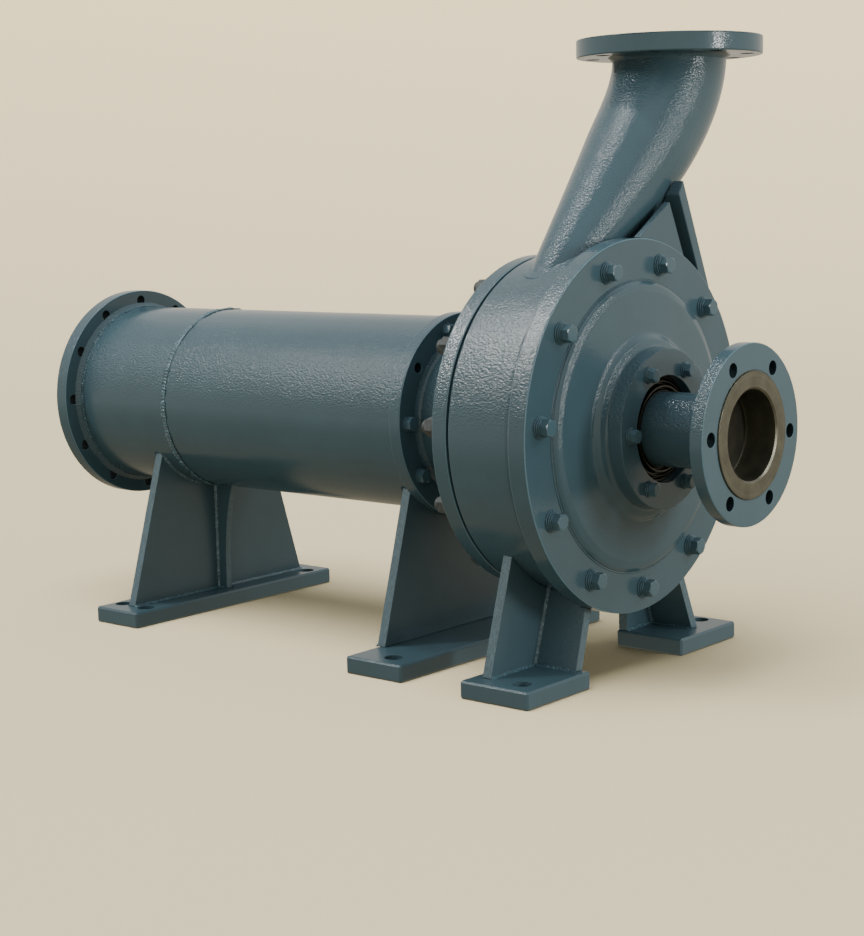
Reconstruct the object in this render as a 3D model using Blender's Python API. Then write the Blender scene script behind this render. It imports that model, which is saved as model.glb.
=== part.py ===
"""Axial flow pump on fabricated steel supports.

Metres, +Z up. The pump's axis runs along X with the coupling at +X.
Stations along the axis are measured from the front face of the casing's front flange.
The whole pump hangs on one empty, which puts the middle of its footprint at the origin.
"""

import math

import bmesh
import bpy
from mathutils import Matrix, Vector

# Driving dimensions
AXIS_HEIGHT = 0.367
CLEARANCE = 0.0003
RUNNING_CLEARANCE = 0.0006
BORE_DEPTH_MARGIN = 0.01
PLATE = 0.016
BASE_THICKNESS = 0.0266
BASE_EDGE = 0.003
FLANGE_EDGE = 0.0015

LARGE_SIDES = 64
SMALL_SIDES = 48
HOLE_SIDES = 16

REAR_FLANGE_FACE = -1.0732
REAR_FLANGE_THICKNESS = 0.0252
REAR_FLANGE_RADIUS = 0.182
REAR_BOLT_RADIUS = 0.164
REAR_HOLE_RADIUS = 0.009

TUBE_RADIUS = 0.1528
TUBE_WALL = 0.010
TUBE_SEAM = -0.8545

COLUMN_FLANGE_REAR = -0.3436
COLUMN_FLANGE_FRONT = -0.3219
COLUMN_FLANGE_RADIUS = 0.1602
COLUMN_BOLT_RADIUS = 0.140
COLUMN_HOLE_RADIUS = 0.008
COLUMN_EMPTY_HOLE_DEG = -54.0

NECK_RADIUS = 0.118
NECK_WALL = 0.010

REAR_PLATE_REAR = -0.1842
REAR_PLATE_FRONT = -0.1584
REAR_PLATE_RADIUS = 0.249
GASKET_RADIUS = 0.243
DRUM_REAR = -0.1545
DRUM_FRONT_RADIUS = 0.257
FRONT_FLANGE_REAR = -0.030
FRONT_FLANGE_RADIUS = 0.273

COVER_RADIUS = 0.2125
COVER_PROFILE = [(0.0030, 0.2125), (0.0048, 0.2105), (0.0085, 0.180), (0.0120, 0.150)]
COVER_PLANE = 0.0135
BOSS_FILLET = 0.012
BOSS_FILLET_SETBACK = 0.0012
BOSS_FACE = 0.050
BOSS_RADIUS = 0.1165
BOSS_BORE_RADIUS = 0.0775
BOSS_BORE_FLOOR = 0.006
GLAND_RING_REAR = 0.0095
GLAND_RING_FRONT = 0.036
GLAND_LIP_RADIUS = 0.064
GLAND_LIP_FRONT = 0.043

SLEEVE_RADIUS = 0.054
SLEEVE_END = 0.0105
COUPLING_REAR = 0.1685
COUPLING_FACE = 0.189
COUPLING_RADIUS = 0.129
RAISED_FACE = 0.191
RAISED_FACE_RADIUS = 0.090
RECESS_RADIUS = 0.0645
RECESS_DEPTH = 0.050
HUB_RADIUS = 0.075
HUB_REAR = 0.134
COUPLING_BOLT_RADIUS = 0.106
COUPLING_HOLE_RADIUS = 0.0105
COUPLING_FIRST_HOLE_DEG = 32.5

DISCHARGE_X = -0.0935
DISCHARGE_Y = 0.2286
DISCHARGE_TOP = 0.9375
DISCHARGE_THICKNESS = 0.0276
DISCHARGE_RADIUS = 0.1425
DISCHARGE_BOLT_RADIUS = 0.120
DISCHARGE_HOLE_RADIUS = 0.011
NOZZLE_WALL = 0.010
NOZZLE_TOP_RADIUS = 0.0877
NOZZLE_UPPER_TAPER = 0.040
NOZZLE_LOWER_TAPER = 0.147
NOZZLE_TAPER_CHANGE = 0.18
NOZZLE_LEAN_DEG = 49.9
NOZZLE_LEAN_LENGTH = 0.070
NOZZLE_SPACING = 0.034
NOZZLE_CUTS = [("discharge_nozzle", 0, 4), ("nozzle_middle", 4, 8), ("nozzle_root", 8, 14)]

FRONT_GUSSET_FACE = -0.010
FRONT_GUSSET_THICKNESS = 0.010
FRONT_GUSSET_OUTLINE = [(0.021, 0.641), (0.100, 0.690), (0.140, 0.606), (0.125, 0.590), (0.021, 0.600)]
SLANT_PLATE_FRONT = -0.003
SLANT_PLATE_REAR = -0.150
SLANT_OUTLINE = [(0.1985, 0.559), (0.127, 0.721), (0.1155, 0.700), (0.166, 0.588), (0.156, 0.540)]

REAR_SUPPORT_WEB = -0.899
REAR_SUPPORT_HALF_LENGTH = 0.051
REAR_SUPPORT_HALF_WIDTH = 0.237
REAR_WEB_FOOT = 0.202
REAR_WEB_LEAN = 0.30
REAR_HOLE_X = 0.0285
REAR_HOLE_Y = 0.195
RIB_THICKNESS = 0.012
RIB_FOOT_DEPTH = 0.020
RIB_TOP_DEPTH = 0.042
SEAT_LIMIT = 0.98

MID_BASE_REAR = -0.358
MID_BASE_FRONT = -0.249
MID_BASE_HALF_WIDTH = 0.254
MID_WEB_FOOT = 0.180
MID_WEB_LEAN = 0.29
MID_HOLE_X = -0.292
MID_HOLE_Y = 0.219
ANCHOR_HOLE_RADIUS = 0.0145

FRONT_BASE_REAR = -0.1255
FRONT_BASE_FRONT = -0.0045
LEFT_BASE_INNER = 0.1190
LEFT_BASE_OUTER = 0.2690
LEFT_HOLE_X = -0.041
LEFT_HOLE_Y = -0.233
LEFT_CROSS_WEB_REAR = -0.108
LEFT_CROSS_WEB_FOOT = -0.2385
LEFT_CROSS_WEB_LEAN = 0.315
LEFT_LONG_WEB_FRONT = -0.0185
LEFT_LONG_WEB_FOOT = -0.1358
LEFT_LONG_WEB_LEAN = 0.33
LEFT_LONG_WEB_TAPER = 0.004
LEFT_LONG_WEB_TOP = 0.160

RIGHT_BASE_INNER = 0.1204
RIGHT_BASE_OUTER = 0.277
RIGHT_HOLE_X = -0.057
RIGHT_HOLE_Y = 0.2545
RIGHT_WEB_REAR = -0.122
RIGHT_CROSS_WEB_EDGE = 0.1225
RIGHT_CROSS_WEB_TOP_EDGE = 0.080
RIGHT_CROSS_WEB_CORNER = 0.120
RIGHT_LONG_WEB_FRONT = -0.032
RIGHT_LONG_WEB_FOOT = 0.208
RIGHT_LONG_WEB_LEAN = -0.35
RIGHT_LONG_WEB_TAPER = 0.012
FRONT_WEB_TOP = 0.235

BLUE = (0.082, 0.118, 0.142, 1.0)
STEEL = (0.34, 0.30, 0.25, 1.0)
BRONZE = (0.24, 0.16, 0.09, 1.0)
GASKET = (0.02, 0.025, 0.03, 1.0)

# Values that follow from the driving dimensions
REAR_END = REAR_FLANGE_FACE - REAR_FLANGE_THICKNESS
LENGTH_MIDDLE = (REAR_END + RAISED_FACE) / 2
WIDTH_MIDDLE = (DISCHARGE_Y + DISCHARGE_RADIUS - FRONT_FLANGE_RADIUS) / 2
WEB_FOOT = BASE_THICKNESS + CLEARANCE
WEB_GAP = 2 * CLEARANCE
NOZZLE_TOP = DISCHARGE_TOP - DISCHARGE_THICKNESS - CLEARANCE


def clear_scene():
    """Empty the scene of its objects."""
    for old in list(bpy.data.objects):
        bpy.data.objects.remove(old, do_unlink=True)


def finish(name, colour, roughness, metallic):
    """A Principled material."""
    material = bpy.data.materials.new(name)
    material.use_nodes = True
    shader = material.node_tree.nodes["Principled BSDF"]
    shader.inputs["Base Color"].default_value = colour
    shader.inputs["Roughness"].default_value = roughness
    shader.inputs["Metallic"].default_value = metallic
    return material


def paint(name):
    """The blue-grey paint of one piece."""
    return finish(name + "_paint", BLUE, 0.35, 0.0)


def add_object(name, bm, parent, material=None):
    """Turn a bmesh into a named object under its parent."""
    bmesh.ops.remove_doubles(bm, verts=bm.verts, dist=0.00001)
    bmesh.ops.recalc_face_normals(bm, faces=bm.faces)
    mesh = bpy.data.meshes.new(name)
    bm.to_mesh(mesh)
    bm.free()
    mesh.shade_smooth()
    mesh.set_sharp_from_angle(angle=math.radians(30))
    item = bpy.data.objects.new(name, mesh)
    bpy.context.collection.objects.link(item)
    item.parent = parent
    if material:
        mesh.materials.append(material)
    return item


def add_cutter(name, bm, parent):
    """A guide solid that only cuts other pieces."""
    cutter = add_object(name, bm, parent)
    cutter.hide_render = True
    cutter.display_type = "WIRE"
    return cutter


def cut(item, cutter):
    """Take a cutter's shape away from a piece."""
    boolean = item.modifiers.new(cutter.name, "BOOLEAN")
    boolean.operation = "DIFFERENCE"
    boolean.object = cutter


def turned_mesh(outline, sides):
    """Spin an outline of (station, radius) points once round the X axis."""
    bm = bmesh.new()
    points = [bm.verts.new((station, 0.0, radius)) for station, radius in outline]
    edges = [bm.edges.new(pair) for pair in zip(points, points[1:] + points[:1])]
    bmesh.ops.spin(
        bm,
        geom=points + edges,
        cent=(0, 0, 0),
        axis=(1, 0, 0),
        angle=math.tau,
        steps=sides,
        use_merge=True,
    )
    bmesh.ops.remove_doubles(bm, verts=bm.verts, dist=0.00001)
    axis_edges = [edge for edge in bm.edges if not edge.link_faces]
    bmesh.ops.delete(bm, geom=axis_edges, context="EDGES")
    return bm


def turned(name, outline, parent, material, sides=LARGE_SIDES):
    """A round piece about the pump's axis."""
    return add_object(name, turned_mesh(outline, sides), parent, material)


def ring_outline(rear, front, bore, radius, edge=FLANGE_EDGE):
    """A flat ring whose two outer edges are broken."""
    return [
        (rear, bore),
        (rear, radius - edge),
        (rear + edge, radius),
        (front - edge, radius),
        (front, radius - edge),
        (front, bore),
    ]


def rods_mesh(centres, axis, radius, half_length, sides=HOLE_SIDES):
    """Parallel round rods, one at each centre."""
    bm = bmesh.new()
    turn = Vector((0, 0, 1)).rotation_difference(Vector(axis)).to_matrix().to_4x4()
    for centre in centres:
        bmesh.ops.create_cone(
            bm,
            cap_ends=True,
            segments=sides,
            radius1=radius,
            radius2=radius,
            depth=2 * half_length,
            matrix=Matrix.Translation(centre) @ turn,
        )
    return bm


def circle_centres(count, radius, station, first_deg=0.0):
    """Points on a bolt circle about the pump's axis, counted from the top towards +Y."""
    centres = []
    for index in range(count):
        angle = math.radians(first_deg + 360.0 * index / count)
        centres.append((station, radius * math.sin(angle), radius * math.cos(angle)))
    return centres


def prism_mesh(corners, shift):
    """Push a flat outline along a shift."""
    bm = bmesh.new()
    face = bm.faces.new([bm.verts.new(corner) for corner in corners])
    pushed = bmesh.ops.extrude_face_region(bm, geom=[face])
    moved = [part for part in pushed["geom"] if isinstance(part, bmesh.types.BMVert)]
    bmesh.ops.translate(bm, verts=moved, vec=shift)
    return bm


def cross_plate(name, outline, rear, thickness, parent):
    """A plate square to the axis, from an outline of (y, z) points."""
    corners = [(rear, y, z) for y, z in outline]
    return add_object(name, prism_mesh(corners, (thickness, 0, 0)), parent, paint(name))


def base_plate(name, rear, front, low_y, high_y, holes, parent):
    """A base plate with broken edges and anchor holes."""
    corners = [(rear, low_y, 0.0), (front, low_y, 0.0), (front, high_y, 0.0), (rear, high_y, 0.0)]
    plate = add_object(name, prism_mesh(corners, (0, 0, BASE_THICKNESS)), parent, paint(name))
    edge = plate.modifiers.new("edge", "BEVEL")
    edge.width = BASE_EDGE
    edge.segments = 1
    centres = [(x, y, BASE_THICKNESS / 2) for x, y in holes]
    drill = rods_mesh(centres, (0, 0, 1), ANCHOR_HOLE_RADIUS, BASE_THICKNESS)
    cut(plate, add_cutter(name + "_drill", drill, parent))
    return plate


def tube_seat(radius, half_width, steps=16):
    """Points under a tube's belly from one side to the other, in (y, z)."""
    reach = math.asin(half_width / radius)
    points = []
    for index in range(steps + 1):
        angle = reach * (1 - 2 * index / steps)
        points.append((radius * math.sin(angle), AXIS_HEIGHT - radius * math.cos(angle)))
    return points


def saddle_web(name, rear, foot, lean, parent):
    """A web that narrows from its foot to a seat cut round the tube's belly."""
    seat_radius = TUBE_RADIUS + CLEARANCE
    widest = SEAT_LIMIT * seat_radius
    half_width = widest
    for _ in range(20):
        seat_height = AXIS_HEIGHT - math.sqrt(seat_radius ** 2 - half_width ** 2)
        half_width = min(foot - lean * (seat_height - WEB_FOOT), widest)
    outline = [(-foot, WEB_FOOT), (foot, WEB_FOOT)] + tube_seat(seat_radius, half_width)
    return cross_plate(name, outline, rear, PLATE, parent)


def leaning_slab(name, rear_x, front_x, outer_foot, lean, top, parent, taper=0.0):
    """A web along the axis whose top leans by a slope across the pump."""
    shift = lean * (top - WEB_FOOT)
    inner_foot = outer_foot + math.copysign(PLATE, lean)
    bm = bmesh.new()
    lower = [
        (rear_x, outer_foot, WEB_FOOT),
        (front_x, outer_foot, WEB_FOOT),
        (front_x, inner_foot, WEB_FOOT),
        (rear_x, inner_foot, WEB_FOOT),
    ]
    upper = [
        (rear_x, outer_foot + shift, top),
        (front_x - taper, outer_foot + shift, top),
        (front_x - taper, inner_foot + shift, top),
        (rear_x, inner_foot + shift, top),
    ]
    low = [bm.verts.new(corner) for corner in lower]
    high = [bm.verts.new(corner) for corner in upper]
    bm.faces.new(low)
    bm.faces.new(high)
    for index in range(4):
        after = (index + 1) % 4
        bm.faces.new((low[index], low[after], high[after], high[index]))
    return add_object(name, bm, parent, paint(name))


def nozzle_direction(along):
    """The way down the nozzle: its lean eases in below the flange."""
    lean = math.radians(NOZZLE_LEAN_DEG) * (1 - math.exp(-along / NOZZLE_LEAN_LENGTH))
    return Vector((0, -math.sin(lean), -math.cos(lean)))


def nozzle_radius(along):
    """The nozzle's outer radius, which narrows faster in its lower half."""
    upper = min(along, NOZZLE_TAPER_CHANGE)
    lower = along - upper
    return NOZZLE_TOP_RADIUS - NOZZLE_UPPER_TAPER * upper - NOZZLE_LOWER_TAPER * lower


def nozzle_centre(along, steps=60):
    """A point on the nozzle's centreline, at a distance below its top."""
    centre = Vector((DISCHARGE_X, DISCHARGE_Y, NOZZLE_TOP))
    step = along / steps
    for index in range(steps):
        centre += nozzle_direction(step * (index + 0.5)) * step
    return centre


def nozzle_stations(first, last, rise=0.0):
    """Centre, direction and outer radius at each station from the first to the last."""
    stations = []
    if rise > 0:
        top = nozzle_centre(0) + Vector((0, 0, rise))
        stations.append((top, nozzle_direction(0), NOZZLE_TOP_RADIUS))
    for index in range(first, last + 1):
        along = NOZZLE_SPACING * index
        if index == first and index > 0:
            along += CLEARANCE
        stations.append((nozzle_centre(along), nozzle_direction(along), nozzle_radius(along)))
    return stations


def swept_mesh(stations, growth, sides=SMALL_SIDES):
    """A round closed skin through the stations, with its radius grown or shrunk."""
    bm = bmesh.new()
    across = Vector((1, 0, 0))
    rings = []
    for centre, direction, radius in stations:
        side = direction.cross(across)
        ring = []
        for index in range(sides):
            angle = math.tau * index / sides
            spoke = across * math.cos(angle) + side * math.sin(angle)
            ring.append(bm.verts.new(centre + spoke * (radius + growth)))
        rings.append(ring)
    bm.faces.new(rings[0])
    bm.faces.new(rings[-1])
    for upper, lower in zip(rings, rings[1:]):
        for index in range(sides):
            after = (index + 1) % sides
            bm.faces.new((upper[index], upper[after], lower[after], lower[index]))
    return bm


def casing_outline(growth):
    """The closed outline of rear plate, drum and front flange together."""
    return [
        (REAR_PLATE_REAR - growth, 0.0),
        (REAR_PLATE_REAR - growth, REAR_PLATE_RADIUS + growth),
        (DRUM_REAR, REAR_PLATE_RADIUS + growth),
        (FRONT_FLANGE_REAR - growth, DRUM_FRONT_RADIUS + growth),
        (FRONT_FLANGE_REAR - growth, FRONT_FLANGE_RADIUS + growth),
        (growth, FRONT_FLANGE_RADIUS + growth),
        (growth, 0.0),
    ]


def build_column(axis):
    """Rear flange, the two tube lengths, column flange and neck."""
    tube_bore = TUBE_RADIUS - TUBE_WALL
    rear_flange = turned(
        "rear_flange",
        ring_outline(REAR_END, REAR_FLANGE_FACE, tube_bore, REAR_FLANGE_RADIUS),
        axis,
        paint("rear_flange"),
    )
    middle = (REAR_END + REAR_FLANGE_FACE) / 2
    holes = circle_centres(12, REAR_BOLT_RADIUS, middle)
    drill = rods_mesh(holes, (1, 0, 0), REAR_HOLE_RADIUS, REAR_FLANGE_THICKNESS)
    cut(rear_flange, add_cutter("rear_flange_drill", drill, axis))
    tube_lengths = {
        "rear_spool": (REAR_FLANGE_FACE + CLEARANCE, TUBE_SEAM - CLEARANCE / 2),
        "column_tube": (TUBE_SEAM + CLEARANCE / 2, COLUMN_FLANGE_REAR - CLEARANCE),
    }
    for name, (rear, front) in tube_lengths.items():
        outline = [(rear, tube_bore), (rear, TUBE_RADIUS), (front, TUBE_RADIUS), (front, tube_bore)]
        turned(name, outline, axis, paint(name))
    neck_bore = NECK_RADIUS - NECK_WALL
    column_flange = turned(
        "column_front_flange",
        ring_outline(COLUMN_FLANGE_REAR, COLUMN_FLANGE_FRONT, neck_bore, COLUMN_FLANGE_RADIUS),
        axis,
        paint("column_front_flange"),
    )
    middle = (COLUMN_FLANGE_REAR + COLUMN_FLANGE_FRONT) / 2
    hole = circle_centres(1, COLUMN_BOLT_RADIUS, middle, COLUMN_EMPTY_HOLE_DEG)
    outer_wall = COLUMN_FLANGE_FRONT - middle + BORE_DEPTH_MARGIN
    drill = rods_mesh(hole, (1, 0, 0), COLUMN_HOLE_RADIUS, outer_wall)
    cut(column_flange, add_cutter("column_flange_drill", drill, axis))
    rear = COLUMN_FLANGE_FRONT + CLEARANCE
    front = REAR_PLATE_REAR - CLEARANCE
    outline = [(rear, neck_bore), (rear, NECK_RADIUS), (front, NECK_RADIUS), (front, neck_bore)]
    turned("neck_pipe", outline, axis, paint("neck_pipe"))


def disc_outline(rear, front, rear_radius, front_radius):
    """A solid disc or drum that may be wider at one end."""
    return [(rear, 0.0), (rear, rear_radius), (front, front_radius), (front, 0.0)]


def build_casing(axis):
    """Rear plate, gasket, drum, front flange and front cover."""
    outline = ring_outline(REAR_PLATE_REAR, REAR_PLATE_FRONT, 0.0, REAR_PLATE_RADIUS)
    turned("casing_rear_plate", outline, axis, paint("casing_rear_plate"))
    rear = REAR_PLATE_FRONT + CLEARANCE
    front = DRUM_REAR - CLEARANCE
    outline = disc_outline(rear, front, GASKET_RADIUS, GASKET_RADIUS)
    turned("casing_gasket", outline, axis, finish("gasket_rubber", GASKET, 0.7, 0.0))
    front = FRONT_FLANGE_REAR - CLEARANCE
    outline = disc_outline(DRUM_REAR, front, REAR_PLATE_RADIUS, DRUM_FRONT_RADIUS)
    turned("casing_drum", outline, axis, paint("casing_drum"))
    outline = ring_outline(FRONT_FLANGE_REAR, 0.0, 0.0, FRONT_FLANGE_RADIUS, 0.002)
    turned("casing_front_flange", outline, axis, paint("casing_front_flange"))
    rear = CLEARANCE
    outline = [(rear, 0.0), (rear, COVER_RADIUS)] + COVER_PROFILE
    centre = (COVER_PLANE + BOSS_FILLET, BOSS_RADIUS + BOSS_FILLET_SETBACK + BOSS_FILLET)
    steps = 4
    for index in range(steps + 1):
        angle = math.pi / 2 * index / steps
        station = centre[0] - BOSS_FILLET * math.cos(angle)
        outline.append((station, centre[1] - BOSS_FILLET * math.sin(angle)))
    outline += [
        (BOSS_FACE - FLANGE_EDGE, BOSS_RADIUS),
        (BOSS_FACE, BOSS_RADIUS - FLANGE_EDGE),
        (BOSS_FACE, BOSS_BORE_RADIUS),
        (BOSS_BORE_FLOOR, BOSS_BORE_RADIUS),
        (BOSS_BORE_FLOOR, 0.0),
    ]
    turned("front_cover", outline, axis, paint("front_cover"))
    bore = SLEEVE_RADIUS + RUNNING_CLEARANCE
    outline = [
        (GLAND_RING_REAR, bore),
        (GLAND_RING_REAR, BOSS_BORE_RADIUS - CLEARANCE),
        (GLAND_RING_FRONT, BOSS_BORE_RADIUS - CLEARANCE),
        (GLAND_RING_FRONT, GLAND_LIP_RADIUS),
        (GLAND_LIP_FRONT, GLAND_LIP_RADIUS - FLANGE_EDGE),
        (GLAND_LIP_FRONT, bore),
    ]
    turned("gland_ring", outline, axis, finish("gland_bronze", BRONZE, 0.35, 0.9), SMALL_SIDES)


def build_shaft(shaft):
    """The shaft sleeve and the coupling flange, which turn together."""
    outline = disc_outline(SLEEVE_END, HUB_REAR - CLEARANCE, SLEEVE_RADIUS, SLEEVE_RADIUS)
    turned("shaft_sleeve", outline, shaft, paint("shaft_sleeve"), SMALL_SIDES)
    chamfer = 0.0015
    outline = [
        (HUB_REAR, 0.0),
        (HUB_REAR, HUB_RADIUS - FLANGE_EDGE),
        (HUB_REAR + FLANGE_EDGE, HUB_RADIUS),
        (COUPLING_REAR, HUB_RADIUS),
        (COUPLING_REAR, COUPLING_RADIUS - FLANGE_EDGE),
        (COUPLING_REAR + FLANGE_EDGE, COUPLING_RADIUS),
        (COUPLING_FACE - FLANGE_EDGE, COUPLING_RADIUS),
        (COUPLING_FACE, COUPLING_RADIUS - FLANGE_EDGE),
        (COUPLING_FACE, RAISED_FACE_RADIUS),
        (RAISED_FACE, RAISED_FACE_RADIUS - 0.001),
        (RAISED_FACE, RECESS_RADIUS + chamfer),
        (RAISED_FACE - chamfer, RECESS_RADIUS),
        (RAISED_FACE - RECESS_DEPTH, RECESS_RADIUS),
        (RAISED_FACE - RECESS_DEPTH, 0.0),
    ]
    coupling = turned("coupling_flange", outline, shaft, paint("coupling_flange"))
    middle = (COUPLING_REAR + COUPLING_FACE) / 2
    holes = circle_centres(6, COUPLING_BOLT_RADIUS, middle, COUPLING_FIRST_HOLE_DEG)
    drill = rods_mesh(holes, (1, 0, 0), COUPLING_HOLE_RADIUS, 0.02)
    cut(coupling, add_cutter("coupling_drill", drill, shaft))


def build_discharge(pump, envelope):
    """The bent nozzle, its flange and the two plates that brace it."""
    last = NOZZLE_CUTS[-1][2]
    bore = swept_mesh(nozzle_stations(0, last + 1, BORE_DEPTH_MARGIN), -NOZZLE_WALL)
    bore_cutter = add_cutter("nozzle_bore", bore, pump)
    for name, first, end in NOZZLE_CUTS:
        length = add_object(name, swept_mesh(nozzle_stations(first, end), 0.0), pump, paint(name))
        if end == last:
            cut(length, envelope)
        cut(length, bore_cutter)
    keep_off = swept_mesh(nozzle_stations(0, last, BORE_DEPTH_MARGIN), CLEARANCE)
    pipe_envelope = add_cutter("nozzle_envelope", keep_off, pump)

    rear = NOZZLE_TOP + CLEARANCE
    inner = NOZZLE_TOP_RADIUS - NOZZLE_WALL
    bm = turned_mesh(ring_outline(0.0, DISCHARGE_THICKNESS, inner, DISCHARGE_RADIUS), LARGE_SIDES)
    upright = Matrix.Rotation(math.radians(-90), 4, "Y")
    bm.transform(Matrix.Translation((DISCHARGE_X, DISCHARGE_Y, rear)) @ upright)
    flange = add_object("discharge_flange", bm, pump, paint("discharge_flange"))
    centres = []
    for index in range(8):
        angle = math.radians(22.5 + 45.0 * index)
        across = DISCHARGE_X + DISCHARGE_BOLT_RADIUS * math.sin(angle)
        along = DISCHARGE_Y + DISCHARGE_BOLT_RADIUS * math.cos(angle)
        centres.append((across, along, rear + DISCHARGE_THICKNESS / 2))
    drill = rods_mesh(centres, (0, 0, 1), DISCHARGE_HOLE_RADIUS, DISCHARGE_THICKNESS)
    cut(flange, add_cutter("discharge_drill", drill, pump))

    front_plate = cross_plate(
        "gusset_front_plate",
        FRONT_GUSSET_OUTLINE,
        FRONT_GUSSET_FACE - FRONT_GUSSET_THICKNESS,
        FRONT_GUSSET_THICKNESS,
        pump,
    )
    length = SLANT_PLATE_FRONT - SLANT_PLATE_REAR
    slant_plate = cross_plate("gusset_slant_plate", SLANT_OUTLINE, SLANT_PLATE_REAR, length, pump)
    for plate in (front_plate, slant_plate):
        cut(plate, envelope)
        cut(plate, pipe_envelope)


def build_rear_support(pump):
    """Base, web and rib under the rear of the column tube."""
    middle = REAR_SUPPORT_WEB
    holes = []
    for side_x in (-1, 1):
        for side_y in (-1, 1):
            holes.append((middle + side_x * REAR_HOLE_X, side_y * REAR_HOLE_Y))
    base_plate(
        "rear_support_base",
        middle - REAR_SUPPORT_HALF_LENGTH,
        middle + REAR_SUPPORT_HALF_LENGTH,
        -REAR_SUPPORT_HALF_WIDTH,
        REAR_SUPPORT_HALF_WIDTH,
        holes,
        pump,
    )
    saddle_web("rear_support_web", middle - PLATE / 2, REAR_WEB_FOOT, REAR_WEB_LEAN, pump)
    back = middle + PLATE / 2 + CLEARANCE
    top = AXIS_HEIGHT - TUBE_RADIUS - CLEARANCE
    outline = [(back, WEB_FOOT)]
    steps = 6
    for index in range(steps + 1):
        share = index / steps
        depth = RIB_FOOT_DEPTH + (RIB_TOP_DEPTH - RIB_FOOT_DEPTH) * share ** 3
        outline.append((back + depth, WEB_FOOT + (top - WEB_FOOT) * share))
    outline.append((back, top))
    corners = [(x, -RIB_THICKNESS / 2, z) for x, z in outline]
    bm = prism_mesh(corners, (0, RIB_THICKNESS, 0))
    add_object("rear_support_rib", bm, pump, paint("rear_support_rib"))


def build_mid_support(pump):
    """Base and web close behind the column's front flange."""
    holes = [(MID_HOLE_X, -MID_HOLE_Y), (MID_HOLE_X, MID_HOLE_Y)]
    base_plate(
        "mid_support_base",
        MID_BASE_REAR,
        MID_BASE_FRONT,
        -MID_BASE_HALF_WIDTH,
        MID_BASE_HALF_WIDTH,
        holes,
        pump,
    )
    rear = COLUMN_FLANGE_REAR - CLEARANCE - PLATE
    saddle_web("mid_support_web", rear, MID_WEB_FOOT, MID_WEB_LEAN, pump)


def build_left_foot(pump, envelope):
    """The foot on the -Y side: its long web stands on the base's inner edge."""
    base_plate(
        "left_foot_base",
        FRONT_BASE_REAR,
        FRONT_BASE_FRONT,
        -LEFT_BASE_OUTER,
        -LEFT_BASE_INNER,
        [(LEFT_HOLE_X, LEFT_HOLE_Y)],
        pump,
    )
    long_web = leaning_slab(
        "left_foot_long_web",
        LEFT_CROSS_WEB_REAR,
        LEFT_LONG_WEB_FRONT,
        LEFT_LONG_WEB_FOOT,
        LEFT_LONG_WEB_LEAN,
        LEFT_LONG_WEB_TOP,
        pump,
        LEFT_LONG_WEB_TAPER,
    )
    rise = FRONT_WEB_TOP - WEB_FOOT
    inner = LEFT_LONG_WEB_FOOT - WEB_GAP
    outline = [
        (LEFT_CROSS_WEB_FOOT, WEB_FOOT),
        (inner, WEB_FOOT),
        (inner + LEFT_LONG_WEB_LEAN * rise, FRONT_WEB_TOP),
        (LEFT_CROSS_WEB_FOOT + LEFT_CROSS_WEB_LEAN * rise, FRONT_WEB_TOP),
    ]
    cross_web = cross_plate("left_foot_cross_web", outline, LEFT_CROSS_WEB_REAR, PLATE, pump)
    cut(long_web, envelope)
    cut(cross_web, envelope)


def build_right_foot(pump, envelope):
    """The foot on the +Y side: its long web stands near the base's outer edge."""
    base_plate(
        "right_foot_base",
        FRONT_BASE_REAR,
        FRONT_BASE_FRONT,
        RIGHT_BASE_INNER,
        RIGHT_BASE_OUTER,
        [(RIGHT_HOLE_X, RIGHT_HOLE_Y)],
        pump,
    )
    long_web = leaning_slab(
        "right_foot_long_web",
        RIGHT_WEB_REAR,
        RIGHT_LONG_WEB_FRONT,
        RIGHT_LONG_WEB_FOOT,
        RIGHT_LONG_WEB_LEAN,
        FRONT_WEB_TOP,
        pump,
        RIGHT_LONG_WEB_TAPER,
    )
    rise = FRONT_WEB_TOP - WEB_FOOT
    outer = RIGHT_LONG_WEB_FOOT - PLATE - WEB_GAP
    outline = [
        (RIGHT_CROSS_WEB_EDGE, WEB_FOOT),
        (outer, WEB_FOOT),
        (outer + RIGHT_LONG_WEB_LEAN * rise, FRONT_WEB_TOP),
        (RIGHT_CROSS_WEB_TOP_EDGE, FRONT_WEB_TOP),
        (RIGHT_CROSS_WEB_EDGE, RIGHT_CROSS_WEB_CORNER),
    ]
    cross_web = cross_plate("right_foot_cross_web", outline, RIGHT_WEB_REAR, PLATE, pump)
    cut(long_web, envelope)
    cut(cross_web, envelope)


def main():
    clear_scene()
    pump = bpy.data.objects.new("pump_origin", None)
    pump.location = (-LENGTH_MIDDLE, -WIDTH_MIDDLE, 0)
    axis = bpy.data.objects.new("pump_axis", None)
    axis.location = (0, 0, AXIS_HEIGHT)
    axis.parent = pump
    shaft = bpy.data.objects.new("shaft_axis", None)
    shaft.parent = axis
    for empty in (pump, axis, shaft):
        bpy.context.collection.objects.link(empty)

    casing_skin = turned_mesh(casing_outline(CLEARANCE), LARGE_SIDES)
    envelope = add_cutter("casing_envelope", casing_skin, axis)
    build_column(axis)
    build_casing(axis)
    build_shaft(shaft)
    build_discharge(pump, envelope)
    build_rear_support(pump)
    build_mid_support(pump)
    build_left_foot(pump, envelope)
    build_right_foot(pump, envelope)


main()
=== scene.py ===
"""Looks of the fabricated axial flow pump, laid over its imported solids."""

import math

import bmesh
import bpy
from mathutils import Matrix, Vector, noise


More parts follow.
